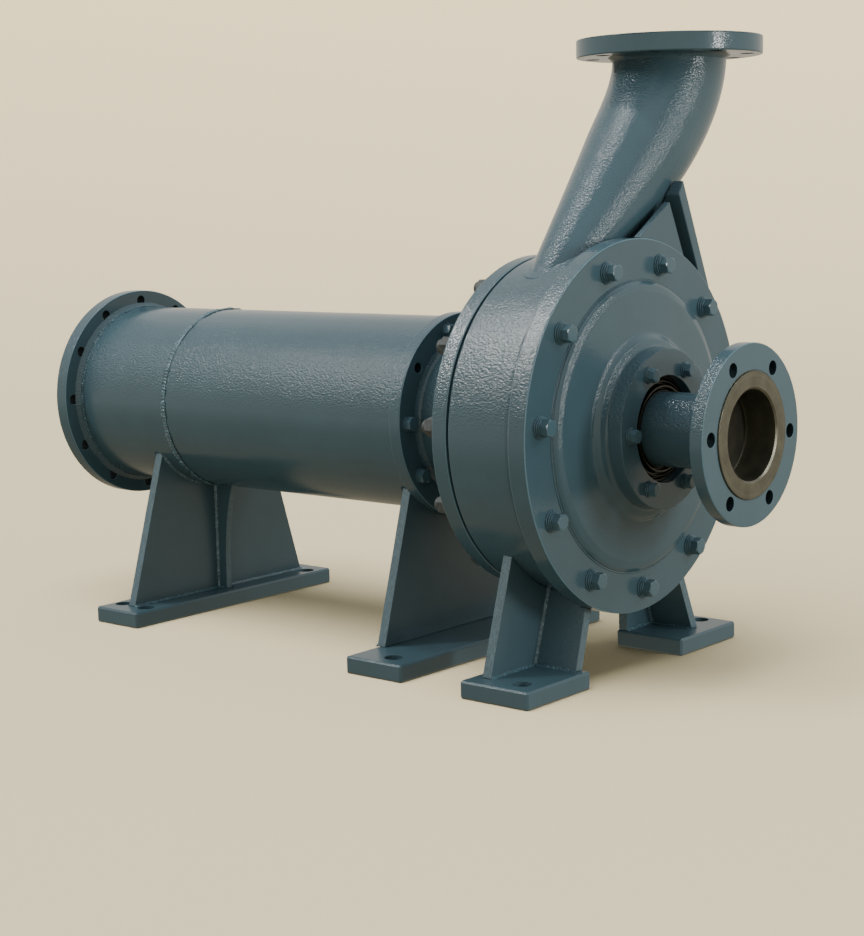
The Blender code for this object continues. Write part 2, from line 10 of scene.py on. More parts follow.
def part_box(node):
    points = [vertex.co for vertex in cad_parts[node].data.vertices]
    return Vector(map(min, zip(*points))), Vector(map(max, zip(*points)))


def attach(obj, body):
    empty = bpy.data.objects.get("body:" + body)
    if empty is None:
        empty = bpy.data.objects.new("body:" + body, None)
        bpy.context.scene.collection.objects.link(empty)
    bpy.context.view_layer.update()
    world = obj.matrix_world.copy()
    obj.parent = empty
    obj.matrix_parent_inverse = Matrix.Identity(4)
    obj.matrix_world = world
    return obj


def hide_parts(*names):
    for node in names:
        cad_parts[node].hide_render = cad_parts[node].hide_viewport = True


bl_info = {
    "name": "Axial Flow Pump",
    "version": (1, 0, 0),
    "blender": (4, 5, 0),
    "location": "View3D > Sidebar > Pump",
    "description": "Dresses the packed solids of a fabricated axial flow pump",
    "category": "Add Mesh",
}

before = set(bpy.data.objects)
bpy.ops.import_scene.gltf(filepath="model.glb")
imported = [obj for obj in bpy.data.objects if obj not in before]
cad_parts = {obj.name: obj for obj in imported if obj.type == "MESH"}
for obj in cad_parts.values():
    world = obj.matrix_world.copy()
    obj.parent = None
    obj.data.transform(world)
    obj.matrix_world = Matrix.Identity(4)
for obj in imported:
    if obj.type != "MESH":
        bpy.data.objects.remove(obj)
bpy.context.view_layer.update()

RIM_LOW, RIM_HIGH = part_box("casing_front_flange")
FACE_X = RIM_HIGH.x
AXIS_Y = (RIM_LOW.y + RIM_HIGH.y) / 2
AXIS_Z = (RIM_LOW.z + RIM_HIGH.z) / 2

# Stations run along the pump's axis from the front face of the casing's rim.
# A flange or plate is given by its rear station, its front station and its radius.
REAR_FLANGE = (-1.0984, -1.0732, 0.1820)
REAR_HOLE_CIRCLE = 0.164
REAR_HOLE_RADIUS = 0.009
TUBE_SEAM = -0.8545
TUBE_RADIUS = 0.1528
TUBE_FLANGE = (-0.3436, -0.3219, 0.1602)
TUBE_BOLT_CIRCLE = 0.140
TUBE_NUTS_DEG = (18, 54, 90, 126, 162, -18, -90, -126, -162)
EMPTY_HOLE_DEG = -54.0
EMPTY_HOLE_RADIUS = 0.008
PIPE_WALL = 0.010
NECK_RADIUS = 0.118
RING_PLATE = (-0.1842, -0.1584, 0.249)
RING_NUT_CIRCLE = 0.228
JOINT_RADIUS = 0.243
BARREL_REAR = -0.1545
BARREL_FRONT_RADIUS = 0.257
RIM_REAR = -0.030
RIM_RADIUS = 0.273
COVER_BOLT_CIRCLE = 0.239
BOSS_FACE = 0.050
BOSS_BORE = 0.0775
GLAND_BOLT_CIRCLE = 0.094
SLEEVE_REAR = 0.0107
SLEEVE_RADIUS = 0.054
HUB_REAR = 0.134
HUB_RADIUS = 0.075
COUPLING_REAR = 0.1685
COUPLING_FACE = 0.189
COUPLING_RADIUS = 0.129
COUPLING_HOLE_CIRCLE = 0.106
COUPLING_HOLE_RADIUS = 0.0105
MACHINED_FACE = 0.191
MACHINED_RADIUS = 0.090
GROOVE_PITCH = 0.0009
GROOVE_DEPTH = 0.00008
RECESS_RADIUS = 0.0645
RECESS_DEPTH = 0.050

OUTLET_X = -0.0935
OUTLET_Y = 0.2286
OUTLET_TOP = 0.9375
OUTLET_THICKNESS = 0.0276
OUTLET_RADIUS = 0.1425
OUTLET_HOLE_CIRCLE = 0.120
OUTLET_HOLE_RADIUS = 0.011
NOZZLE_RADIUS = 0.0877
NOZZLE_UPPER_TAPER = 0.040
NOZZLE_LOWER_TAPER = 0.147
NOZZLE_TAPER_CHANGE = 0.18
NOZZLE_TAPER_EASE = 0.03
NOZZLE_LEAN = math.radians(49.9)
NOZZLE_LEAN_LENGTH = 0.070

BASE_TOP = 0.0266
PLATE = 0.016
# How far the sides of each saddle plate lean in for each metre of height
SADDLE_LEANS = {"rear_support_web": 0.30, "mid_support_web": 0.29}
# Each foot: the corner between its webs, their lean, and the cross web's outer edge
FEET = (("left", -0.1358, 0.33, -0.2385), ("right", 0.208 - PLATE, -0.35, 0.1225))
FOOT_SEAM = 0.125
RIB_SEAM = 0.020

# Hair's breadth between pieces that meet, flare at the mouths of drilled holes, eased edges
HAIR = 0.0002
HOLE_FLARE = 0.0005
SOLE_EASE = 0.0005
WEB_EASE = 0.0009
GUSSET_EASE = 0.0016

# Washers from the seat up, by radius and thickness, and the dark gap that parts them
COVER_WASHERS = ((0.0163, 0.0032), (0.0150, 0.0030), (0.0136, 0.0024))
GLAND_WASHERS = ((0.0124, 0.0026), (0.0113, 0.0022))
RING_WASHERS = ((0.0185, 0.0040),)
TUBE_WASHERS = ((0.0125, 0.0025),)
WASHER_GAP = 0.0007
WASHER_STEP = 0.0022
COVER_HEAD = 0.0118
GLAND_HEAD = 0.0090
TUBE_HEAD = 0.0100
RING_NUT_FLATS = 0.0270
RING_NUT_HEIGHT = 0.0165
STUD_RADIUS = 0.0105

TO_FRONT = Vector((1, 0, 0))
TO_REAR = Vector((-1, 0, 0))
UP = Vector((0, 0, 1))

# The studio: floor radius, radius of the sweep, its height, the floor's shade and the wall's glow
FLOOR_RADIUS = 4.2
SWEEP = 2.6
WALL_TOP = 6.5
FLOOR_SHADE = 0.46
WALL_GLOW = 1.54

# The lights stand at one distance from a centre and look at the pump's middle
LIGHT_CENTRE = Vector((0.34, -0.10, 0.55))
LIGHT_DISTANCE = 3.1
LIGHT_AIM = Vector((0.1, -0.02, 0.42))
# Each soft box: its way from the centre, width, height and share of the power
SOFTBOXES = (
    ("left_softbox", (-0.62, -0.53, 0.58), 0.30, 0.78, 0.85),
    ("upper_left_softbox", (-0.38, -0.24, 0.89), 0.22, 0.7, 0.25),
    ("overhead_softbox", (-0.24, -0.02, 0.97), 0.22, 0.6, 0.75),
    ("right_softbox", (0.80, 0.36, 0.48), 0.30, 1.0, 0.36),
    ("low_right_softbox", (0.985, 0.13, 0.11), 0.34, 0.8, 0.90),
)
# A narrow light that only adds a glint to the casing
SNOOT = ("left_snoot", (-0.54, -0.40, 0.74), 0.16, 0.34, 1.6)
GLINTING_PIECES = ("barrel", "bolted_rim", "dished_cover", "ring_plate")
SKYLIGHT_WAY = Vector((0.0, -0.30, 0.95))
SKYLIGHT_SPREAD = math.radians(50)

# The camera, by its place, its angles and its focal length in pixels of a frame this wide
CAMERA_PLACE = (1.5488, -2.2954, 0.7046)
CAMERA_AZIMUTH = math.radians(40.258)
CAMERA_PITCH = math.radians(8.089)
CAMERA_ROLL = -0.0217
FOCAL_PIXELS = 1906.93
FRAME_WIDTH = 864.0
SENSOR_WIDTH = 36.0

# The ways that the thickly sprayed surfaces face, and the share of the peel elsewhere
THICK_COAT_SIDE = (0.0, -0.824, 0.566)
THICK_COAT_FRONT = (0.893, -0.331, 0.306)
THIN_COAT = 0.12
NOZZLE_COAT = 0.32


def place(x, y, z):
    """A point given by its station, its offset from the axis and its height."""
    return Vector((FACE_X + x, AXIS_Y + y, z))


def around(station, radius, turn_angle):
    """A point about the pump's axis, its turn counted from the top towards +Y."""
    side = radius * math.sin(turn_angle)
    return place(station, side, AXIS_Z + radius * math.cos(turn_angle))


def even_turns(count, first_deg=0.0):
    """Evenly spaced turns about an axis, in radians."""
    return [math.radians(first_deg + 360.0 * index / count) for index in range(count)]


ALONG_AXIS = Matrix.Translation(place(0, 0, AXIS_Z)) @ Matrix.Rotation(math.pi / 2, 4, "Y")
OUTLET_AXIS = Matrix.Translation(place(OUTLET_X, OUTLET_Y, 0))
OUTLET_SEAT = place(OUTLET_X, OUTLET_Y, OUTLET_TOP - OUTLET_THICKNESS)


class PumpFinish(bpy.types.PropertyGroup):
    """Colours of the pump's finishes."""

    enamel: bpy.props.FloatVectorProperty(
        name="Enamel",
        description="Blue-grey enamel over the steel",
        subtype="COLOR",
        size=3,
        default=(0.046, 0.090, 0.115),
        min=0.0,
        max=1.0,
    )
    steel: bpy.props.FloatVectorProperty(
        name="Turned steel",
        description="Bare face and bore of the coupling",
        subtype="COLOR",
        size=3,
        default=(0.162, 0.162, 0.130),
        min=0.0,
        max=1.0,
    )
    bronze: bpy.props.FloatVectorProperty(
        name="Gland bronze",
        description="Rings of the gland round the sleeve",
        subtype="COLOR",
        size=3,
        default=(0.056, 0.055, 0.048),
        min=0.0,
        max=1.0,
    )


class PumpFasteners(bpy.types.PropertyGroup):
    """Sizes of the bolts, nuts and weld beads."""

    cover_bolt: bpy.props.FloatProperty(
        name="Cover bolt",
        description="Width across the flats of the cover bolts",
        subtype="DISTANCE",
        unit="LENGTH",
        default=0.0228,
        min=0.010,
        max=0.040,
    )
    gland_bolt: bpy.props.FloatProperty(
        name="Gland bolt",
        description="Width across the flats of the gland bolts",
        subtype="DISTANCE",
        unit="LENGTH",
        default=0.0180,
        min=0.010,
        max=0.030,
    )
    tube_nut: bpy.props.FloatProperty(
        name="Tube flange nut",
        description="Width across the flats of the nuts on the tube's front flange",
        subtype="DISTANCE",
        unit="LENGTH",
        default=0.020,
        min=0.010,
        max=0.030,
    )
    bead: bpy.props.FloatProperty(
        name="Weld bead",
        description="Leg of the weld beads between plates",
        subtype="DISTANCE",
        unit="LENGTH",
        default=0.0034,
        min=0.001,
        max=0.012,
    )


class PumpStage(bpy.types.PropertyGroup):
    """The studio round the pump."""

    floor: bpy.props.FloatVectorProperty(
        name="Floor",
        description="Colour of the plain floor and backdrop",
        subtype="COLOR",
        size=3,
        default=(1.0, 0.88, 0.58),
        min=0.0,
        max=1.0,
    )
    key: bpy.props.FloatProperty(
        name="Soft boxes",
        description="Power that the soft boxes round the pump share",
        subtype="POWER",
        unit="POWER",
        default=40.0,
        min=0.0,
        max=1000.0,
    )
    skylight: bpy.props.FloatProperty(
        name="Floor skylight",
        description="Strength of the broad light on the floor",
        default=6.7,
        min=0.0,
        max=20.0,
    )
    air: bpy.props.FloatProperty(
        name="Studio air",
        description="Strength of the soft light from all round",
        subtype="FACTOR",
        default=0.88,
        min=0.0,
        max=4.0,
    )


class Value:
    """A shader socket that Python's arithmetic works on."""

    def __init__(self, sheet, socket):
        self.sheet = sheet
        self.socket = socket

    def maths(self, operation, first, second):
        """One Math node over two values."""
        return self.sheet.node("ShaderNodeMath", {"operation": operation}, {0: first, 1: second})

    def __add__(self, other):
        return self.maths("ADD", self, other)

    def __radd__(self, other):
        return self.maths("ADD", other, self)

    def __sub__(self, other):
        return self.maths("SUBTRACT", self, other)

    def __rsub__(self, other):
        return self.maths("SUBTRACT", other, self)

    def __mul__(self, other):
        return self.maths("MULTIPLY", self, other)

    def __rmul__(self, other):
        return self.maths("MULTIPLY", other, self)


class Sheet:
    """The node tree of a material or a world, and the shader at its end."""

    def __init__(self, owner, constants, shader="Principled BSDF"):
        owner.use_nodes = True
        self.owner = owner
        self.tree = owner.node_tree
        self.shader = self.tree.nodes[shader]
        for socket, value in constants.items():
            self.shader.inputs[socket].default_value = value

    def node(self, kind, settings=None, sockets=None, output=0):
        """Add a node, set it up, and give back one of its outputs."""
        made = self.tree.nodes.new(kind)
        for setting, value in (settings or {}).items():
            setattr(made, setting, value)
        for socket, value in (sockets or {}).items():
            if isinstance(value, Value):
                self.tree.links.new(value.socket, made.inputs[socket])
            else:
                made.inputs[socket].default_value = value
        return Value(self, made.outputs[output])

    def feed(self, socket, value):
        """Link a value into the shader."""
        self.tree.links.new(value.socket, self.shader.inputs[socket])

    def vector(self, operation, first, second=(0.0, 0.0, 0.0), output=0):
        """One Vector Math node over two vectors."""
        sockets = {0: first, 1: second}
        return self.node("ShaderNodeVectorMath", {"operation": operation}, sockets, output)

    def part(self, vector, axis):
        """One coordinate of a vector."""
        return self.node("ShaderNodeSeparateXYZ", {}, {0: vector}, axis)

    def places(self, stretch=(1.0, 1.0, 1.0)):
        """Positions on the piece, stretched along the axes."""
        return self.vector("MULTIPLY", self.node("ShaderNodeTexCoord", output="Object"), stretch)

    def grain(self, spots, scale, detail=2.0, roughness=0.5):
        """Soft noise over the given positions, from 0 to 1."""
        sockets = {"Vector": spots, "Scale": scale, "Detail": detail, "Roughness": roughness}
        return self.node("ShaderNodeTexNoise", {}, sockets)

    def steps(self, value, low, high, smooth="LINEAR"):
        """Stretch the part of a value between low and high over 0 to 1."""
        settings = {"interpolation_type": smooth}
        return self.node("ShaderNodeMapRange", settings, {0: value, 1: low, 2: high})

    def blend(self, share, first, second):
        """Mix two colours."""
        settings = {"data_type": "RGBA"}
        return self.node("ShaderNodeMix", settings, {0: share, 6: first, 7: second}, output=2)

    def facing(self, way, low, high):
        """How far the surface faces a way, from 0 at low to 1 at high."""
        normal = self.node("ShaderNodeTexCoord", output="Normal")
        share = self.vector("DOT_PRODUCT", normal, way, "Value")
        return self.steps(share, low, high, "SMOOTHSTEP")

    def relief(self, height, distance):
        """Turn a height map into the surface's normals."""
        sockets = {"Height": height, "Distance": distance}
        self.feed("Normal", self.node("ShaderNodeBump", {}, sockets))


def shiny(name, specular, metallic=0.0):
    """A new material with its constant gloss."""
    constants = {"Metallic": metallic, "Specular IOR Level": specular}
    return Sheet(bpy.data.materials.new(name), constants)


def shade(colour, factor):
    """A colour made lighter or darker, with full alpha."""
    return tuple(min(1.0, part * factor) for part in colour[:3]) + (1.0,)


def enamel(name, colour, peel=0.0014, rough=0.17, crinkle=(1.0, 1.0, 1.7), thin=THIN_COAT):
    """Sprayed enamel: orange peel where the coat is thick, smooth on the flat faces."""
    sheet = shiny(name, 0.45)
    spots = sheet.places()
    skin = sheet.grain(sheet.places(crinkle), 225.0, 2.0, 0.5)
    fine = sheet.grain(spots, 480.0, 2.0, 0.55)
    broad = sheet.grain(spots, 6.0, 3.0, 0.5)
    cloud = sheet.grain(spots, 26.0, 2.0, 0.5)
    tone = sheet.steps(broad * 0.45 + cloud * 0.3 + fine * 0.25, 0.38, 0.62)
    sheet.feed("Base Color", sheet.blend(tone, shade(colour, 0.94), shade(colour, 1.06)))
    sheet.feed("Roughness", rough - 0.045 + 0.05 * cloud + 0.04 * fine)
    side = sheet.facing(THICK_COAT_SIDE, 0.83, 0.93)
    front = sheet.facing(THICK_COAT_FRONT, 0.93, 0.985)
    thick = thin + (1.0 - thin) * (side + front)
    sheet.relief((skin + 0.18 * fine) * thick, peel)
    return sheet.owner


def flame_cut_enamel(name, colour):
    """Enamel over the rough cut edges of the plates, rubbed lighter."""
    sheet = shiny(name, 0.6)
    pits = sheet.grain(sheet.places(), 520.0, 4.0, 0.7)
    drag = sheet.grain(sheet.places((1.0, 1.0, 0.25)), 300.0, 3.0, 0.6)
    worn = sheet.steps(pits * 0.6 + drag * 0.4, 0.46, 0.64)
    sheet.feed("Base Color", sheet.blend(worn, shade(colour, 1.0), shade(colour, 1.9)))
    sheet.feed("Roughness", 0.34 + 0.22 * worn)
    sheet.relief(pits + 0.7 * drag, 0.0009)
    return sheet.owner


def bead_enamel(name, colour):
    """Enamel over the weld beads, glossy on their ripples, with light specks over its lumps that
    are painted glints.
    """
    sheet = shiny(name, 0.5)
    lumps = sheet.grain(sheet.places(), 240.0, 3.0, 0.6)
    tone = sheet.steps(lumps, 0.48, 0.66)
    # The light specks are painted glints on the bead
    sheet.feed("Base Color", sheet.blend(tone, shade(colour, 1.0), shade(colour, 2.3)))
    sheet.feed("Roughness", 0.18 + 0.14 * lumps)
    sheet.relief(lumps, 0.0012)
    return sheet.owner


def shadowed_enamel(name, colour):
    """Enamel darkened on the walls of the bolt holes: painted shade in the holes."""
    sheet = shiny(name, 0.15)
    patches = sheet.grain(sheet.places(), 180.0, 3.0, 0.6)
    sheet.feed("Base Color", sheet.blend(patches, shade(colour, 0.14), shade(colour, 0.34)))
    sheet.feed("Roughness", 0.65 + 0.2 * patches)
    sheet.relief(patches, 0.0003)
    return sheet.owner


def turned_metal(name, colour, painted_light_factor=1.0, groove=2600.0, rough=0.30):
    """Bare metal from the lathe: fine rings about the pump's axis and a brown film. Its colour is
    scaled by a factor: above one that is painted light, below one painted shade.
    """
    sheet = shiny(name, 0.5, metallic=1.0)
    spot = sheet.node("ShaderNodeTexCoord", output="Object")
    spoke = sheet.vector("SUBTRACT", spot, (0.0, AXIS_Y, AXIS_Z))
    reach = sheet.vector("LENGTH", sheet.vector("MULTIPLY", spoke, (0, 1, 1)), output="Value")
    ring = sheet.node("ShaderNodeCombineXYZ", {}, {0: reach, 1: sheet.part(spot, 0)})
    lines = sheet.grain(ring, groove, 2.0, 0.6)
    bands = sheet.grain(ring, groove / 14, 2.0, 0.6)
    spots = sheet.places()
    film = sheet.grain(spots, 34.0, 4.0, 0.6)
    specks = sheet.grain(spots, 420.0, 3.0, 0.6)
    tone = sheet.steps(film * 0.5 + bands * 0.35 + specks * 0.15, 0.36, 0.64)
    low, high = shade(colour, 0.72 * painted_light_factor), shade(colour, 1.22 * painted_light_factor)
    sheet.feed("Base Color", sheet.blend(tone, low, high))
    sheet.feed("Roughness", rough - 0.06 + 0.12 * film + 0.08 * lines)
    sheet.relief(lines + 0.6 * bands + 0.2 * specks, 0.00007)
    return sheet.owner


def rubber(name):
    """Black joint sheet, dull and dusty at its edge."""
    sheet = shiny(name, 0.35)
    spots = sheet.places()
    dust = sheet.steps(sheet.grain(spots, 160.0, 4.0, 0.6), 0.45, 0.75)
    black, dusty = (0.006, 0.008, 0.009, 1.0), (0.022, 0.024, 0.024, 1.0)
    sheet.feed("Base Color", sheet.blend(dust, black, dusty))
    sheet.feed("Roughness", 0.62 + 0.25 * dust)
    sheet.relief(sheet.grain(spots, 800.0), 0.0002)
    return sheet.owner


def grey_coat(name):
    """The dull grey coating of the nuts behind the casing."""
    sheet = shiny(name, 0.35)
    spots = sheet.places()
    bloom = sheet.grain(spots, 120.0, 3.0, 0.6)
    grit = sheet.grain(spots, 620.0, 2.0, 0.6)
    tone = sheet.steps(bloom * 0.7 + grit * 0.3, 0.38, 0.62)
    grey, painted_light_face = (0.032, 0.041, 0.043, 1.0), (0.064, 0.076, 0.077, 1.0)
    sheet.feed("Base Color", sheet.blend(tone, grey, painted_light_face))
    sheet.feed("Roughness", 0.40 + 0.15 * bloom)
    sheet.relief(bloom + 0.4 * grit, 0.0003)
    return sheet.owner


def studio_paper(name, colour):
    """The plain floor and backdrop: pale and matt, lit from within where the sweep stands up."""
    sheet = shiny(name, 0.0)
    spots = sheet.places()
    mottle = sheet.grain(spots, 1.3, 3.0, 0.5)
    tooth = sheet.grain(spots, 260.0, 2.0, 0.6)
    rise = sheet.steps(sheet.part(spots, 2), 0.0, SWEEP)
    share = 0.5 + 0.3 * (mottle - 0.5) + 0.1 * (tooth - 0.5)
    low, high = shade(colour, 0.97 * FLOOR_SHADE), shade(colour, 1.03 * FLOOR_SHADE)
    red, green, blue = (WALL_GLOW * part for part in colour)
    glow = (red, 0.92 * green, 0.72 * blue, 1.0)
    sheet.feed("Base Color", sheet.blend(share, low, high))
    sheet.feed("Emission Color", sheet.blend(rise, (0.0, 0.0, 0.0, 1.0), glow))
    sheet.shader.inputs["Emission Strength"].default_value = 1.0
    sheet.feed("Roughness", 0.80 + 0.12 * mottle)
    sheet.relief(tooth, 0.0003)
    return sheet.owner


FINISHES = {}


def finish(name):
    """The material of a named finish, made once."""
    if name not in FINISHES:
        colours = bpy.context.scene.pump_finish
        paper = bpy.context.scene.pump_stage.floor
        blue, steel, bronze = colours.enamel, colours.steel, colours.bronze
        makers = {
            "blue_grey_enamel": (enamel, blue),
            "plate_enamel": (enamel, blue, 0.0006, 0.32),
            # The bolts' enamel is the same blue made lighter: painted light on their heads
            "bolt_enamel": (enamel, shade(blue, 1.2), 0.0002, 0.24, (1.0, 1.0, 1.0)),
            "nozzle_enamel": (enamel, blue, 0.0014, 0.17, (1.0, 1.0, 1.7), NOZZLE_COAT),
            # A lighter copy of the blue enamel for the coupling's outer face: painted light
            "pale_enamel": (enamel, shade(blue, 1.15), 0.0006, 0.32),
            # Enamel made much lighter for the narrow edges: a painted highlight along them
            "worn_edge": (enamel, shade(blue, 1.9), 0.0004, 0.30),
            "flame_cut_edge": (flame_cut_enamel, blue),
            # Bead enamel with light specks: painted glints
            "weld_bead_enamel": (bead_enamel, blue),
            # Darkened enamel for the walls of the holes: painted shade
            "hole_enamel": (shadowed_enamel, blue),
            "turned_steel": (turned_metal, steel),
            # Copies of the turned steel: lightened in the bore as painted light, darkened on the
            # recess floor as painted shade
            "bored_steel": (turned_metal, steel, 1.5, 900.0, 0.34),
            "recess_steel": (turned_metal, steel, 0.30, 900.0, 0.50),
            "gland_bronze": (turned_metal, bronze, 1.0, 1500.0),
            "joint_rubber": (rubber,),
            "nut_coating": (grey_coat,),
            "studio_paper": (studio_paper, tuple(paper)),
        }
        maker, *details = makers[name]
        FINISHES[name] = maker(name, *details)
    return FINISHES[name]


def linked(name, bm):
    """A new object from a bmesh."""
    mesh = bpy.data.meshes.new(name)
    bm.to_mesh(mesh)
    bm.free()
    piece = bpy.data.objects.new(name, mesh)
    bpy.context.scene.collection.objects.link(piece)
    return piece


def keep(name, bm, finishes, body="pump_body", nodes=(), crease=32.0):
    """Make a finished piece that rides on a body and may stand for solids."""
    bmesh.ops.recalc_face_normals(bm, faces=bm.faces)
    piece = linked(name, bm)
    piece.data.shade_smooth()
    piece.data.set_sharp_from_angle(angle=math.radians(crease))
    flats = piece.modifiers.new("true_flats", "WEIGHTED_NORMAL")
    flats.keep_sharp = True
    flats.weight = 80
    for finish_name in finishes:
        piece.data.materials.append(finish(finish_name))
    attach(piece, body)
    if nodes:
        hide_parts(*nodes)


def worked(bm, kind, settings, tool_bm=None):
    """Run one modifier over a solid, with a tool where it takes one, and give back the result."""
    stock = [linked("rough_stock", bm)]
    modifier = stock[0].modifiers.new("work", kind)
    for setting, value in settings.items():
        setattr(modifier, setting, value)
    if tool_bm is not None:
        stock.append(linked("drill", tool_bm))
        modifier.object = stock[1]
    done = bmesh.new()
    done.from_object(stock[0], bpy.context.evaluated_depsgraph_get())
    for item in stock:
        mesh = item.data
        bpy.data.objects.remove(item)
        bpy.data.meshes.remove(mesh)
    return done


def skirt(bm, first, second):
    """Join two rings of points, either of which may be one point."""
    count = max(len(first), len(second))
    for index in range(count):
        after = (index + 1) % count
        corners = [
            first[index % len(first)],
            first[after % len(first)],
            second[after % len(second)],
            second[index % len(second)],
        ]
        face = list(dict.fromkeys(corners))
        if len(face) > 2:
            bm.faces.new(face)


def arc(start, middle, end, share):
    """A point on the rounding from start to end that leans towards middle."""
    rest = 1 - share
    return start * rest * rest + middle * 2 * share * rest + end * share * share


def soften(outline, rounding, steps=4):
    """Round the corners of a closed outline of (station, radius, own rounding)."""
    softened = []
    for index, corner in enumerate(outline):
        point = Vector(corner[:2])
        own = corner[2] if len(corner) > 2 else rounding
        before = Vector(outline[index - 1][:2]) - point
        after = Vector(outline[(index + 1) % len(outline)][:2]) - point
        half = before.angle(after) / 2
        if point.y < 0.00001 or own <= 0 or half > math.radians(86):
            softened.append(point)
            continue
        set_back = min(own / math.tan(half), 0.45 * min(before.length, after.length))
        start = point + before.normalized() * set_back
        end = point + after.normalized() * set_back
        softened += [arc(start, point, end, step / steps) for step in range(steps + 1)]
    return softened


def turn(bm, outline, matrix, sides, closed=True):
    """Turn an outline of (station, radius) about an axis."""
    rings = []
    for station, radius in outline:
        count = sides if radius > 0.00001 else 1
        ring = []
        for index in range(count):
            angle = math.tau * index / sides
            spot = Vector((radius * math.cos(angle), radius * math.sin(angle), station))
            ring.append(bm.verts.new(matrix @ spot))
        rings.append(ring)
    for first, second in zip(rings, rings[1:] + (rings[:1] if closed else [])):
        skirt(bm, first, second)


def lathe(outline, rounding=0.0, steps=4, matrix=ALONG_AXIS, sides=160):
    """A turned piece with rounded corners."""
    bm = bmesh.new()
    turn(bm, soften(outline, rounding, steps), matrix, sides)
    return bm


def ring_outline(rear, front, bore, radius):
    """A flat ring in section."""
    return [(rear, bore), (rear, radius), (front, radius), (front, bore)]


def hole_places(count, radius, station, first_deg=0.0):
    """Matrices on a bolt circle about the pump's axis, each looking towards +X."""
    look = Matrix.Rotation(math.pi / 2, 4, "Y")
    turns = even_turns(count, first_deg)
    return [Matrix.Translation(around(station, radius, angle)) @ look for angle in turns]


def bored(bm, places, radius, length, wall_index=1, overrun=0.01, sides=28):
    """Drill holes with broken edges, and give their walls their own finish: darkened enamel,
    painted shade in the holes.
    """
    half = length / 2
    mouth = radius + HOLE_FLARE + overrun
    outline = [
        (-half - overrun, 0.0),
        (-half - overrun, mouth),
        (-half + HOLE_FLARE, radius),
        (half - HOLE_FLARE, radius),
        (half + overrun, mouth),
        (half + overrun, 0.0),
    ]
    drills = bmesh.new()
    for matrix in places:
        turn(drills, outline, matrix, sides)
    bmesh.ops.recalc_face_normals(drills, faces=drills.faces)
    bm = worked(bm, "BOOLEAN", {"operation": "DIFFERENCE", "solver": "EXACT"}, drills)
    # The hole walls take the darkened enamel: painted shade in the holes
    for matrix in places:
        inverse = matrix.inverted()
        way = matrix.col[2].to_3d()
        for face in bm.faces:
            spot = inverse @ face.calc_center_median()
            if abs(face.normal.dot(way)) < 0.5 and math.hypot(spot.x, spot.y) < radius * 1.04:
                face.material_index = wall_index
    return bm


def paint_edge_highlights(bm, index):
    """Give the narrow roundings of a turned piece a much lighter enamel: a painted highlight along
    the edge.
    """
    bm.normal_update()
    for face in bm.faces:
        slant = abs(face.normal.x)
        if face.material_index == 0 and 0.25 < slant < 0.97:
            if min(edge.calc_length() for edge in face.edges) < 0.0014:
                face.material_index = index


def dress_solid(name, node, ease, edge_axis=None):
    """Ease the edges of a solid's copy; faces square to edge_axis keep smooth enamel."""
    bm = bmesh.new()
    bm.from_mesh(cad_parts[node].data)
    bmesh.ops.remove_doubles(bm, verts=bm.verts, dist=0.00002)
    bmesh.ops.dissolve_limit(
        bm, angle_limit=math.radians(1.0), verts=bm.verts, edges=bm.edges, delimit=set()
    )
    bmesh.ops.recalc_face_normals(bm, faces=bm.faces)
    if edge_axis:
        for face in bm.faces:
            face.material_index = int(abs(face.normal.dot(Vector(edge_axis))) < 0.6)
    # The eased edges take the much lighter enamel: a painted highlight along them
    bevel = {
        "width": ease,
        "segments": 3,
        "limit_method": "ANGLE",
        "angle_limit": math.radians(25),
        "miter_outer": "MITER_ARC",
        "material": 2,
    }
    bm = worked(bm, "BEVEL", bevel)
    keep(name, bm, ["plate_enamel", "flame_cut_edge", "worn_edge"], nodes=[node])


def nozzle_direction(along):
    """The way down the nozzle: its lean eases in below the flange."""
    lean = NOZZLE_LEAN * (1 - math.exp(-along / NOZZLE_LEAN_LENGTH))
    return Vector((0, -math.sin(lean), -math.cos(lean)))


def nozzle_radius(along):
    """The nozzle's outer radius, with the change of taper drawn out."""
    taper = NOZZLE_LOWER_TAPER - NOZZLE_UPPER_TAPER
    late = along - NOZZLE_TAPER_CHANGE
    eased_late = 0.5 * (late + math.hypot(late, NOZZLE_TAPER_EASE))
    return NOZZLE_RADIUS - NOZZLE_UPPER_TAPER * along - taper * eased_late


def nozzle_line(step=0.002, length=0.56):
    """Centre, direction and distance down the nozzle in small steps."""
    centre = OUTLET_SEAT.copy()
    line = []
    for index in range(int(length / step) + 1):
        along = step * index
        line.append((centre.copy(), nozzle_direction(along), along))
        centre += nozzle_direction(along + step / 2) * step
    return line


def casing_radius(station):
    """The casing's outer radius at a station."""
    if station > RIM_REAR:
        return RIM_RADIUS
    if station < RING_PLATE[1]:
        return RING_PLATE[2]
    share = (station - BARREL_REAR) / (RIM_REAR - BARREL_REAR)
    return RING_PLATE[2] + (BARREL_FRONT_RADIUS - RING_PLATE[2]) * max(0.0, share)


def inside_casing(point):
    """Whether a point lies in the casing."""
    reach = math.hypot(point.y - AXIS_Y, point.z - AXIS_Z)
    return reach < casing_radius(point.x - FACE_X)


def nozzle_skin(line, turn_angle, shrink=0.0):
    """Points down one side of the nozzle until it meets the casing."""
    across = Vector((1, 0, 0))
    run = []
    for centre, direction, along in line:
        side = direction.cross(across)
        spoke = across * math.cos(turn_angle) + side * math.sin(turn_angle)
        point = centre + spoke * (nozzle_radius(along) - shrink)
        if inside_casing(point):
            break
        run.append((point, direction, spoke))
    outside, direction, spoke = run[-1]
    for _ in range(12):
        middle = (outside + point) / 2
        if inside_casing(middle):
            point = middle
        else:
            outside = middle
    run.append((outside, direction, spoke))
    return run


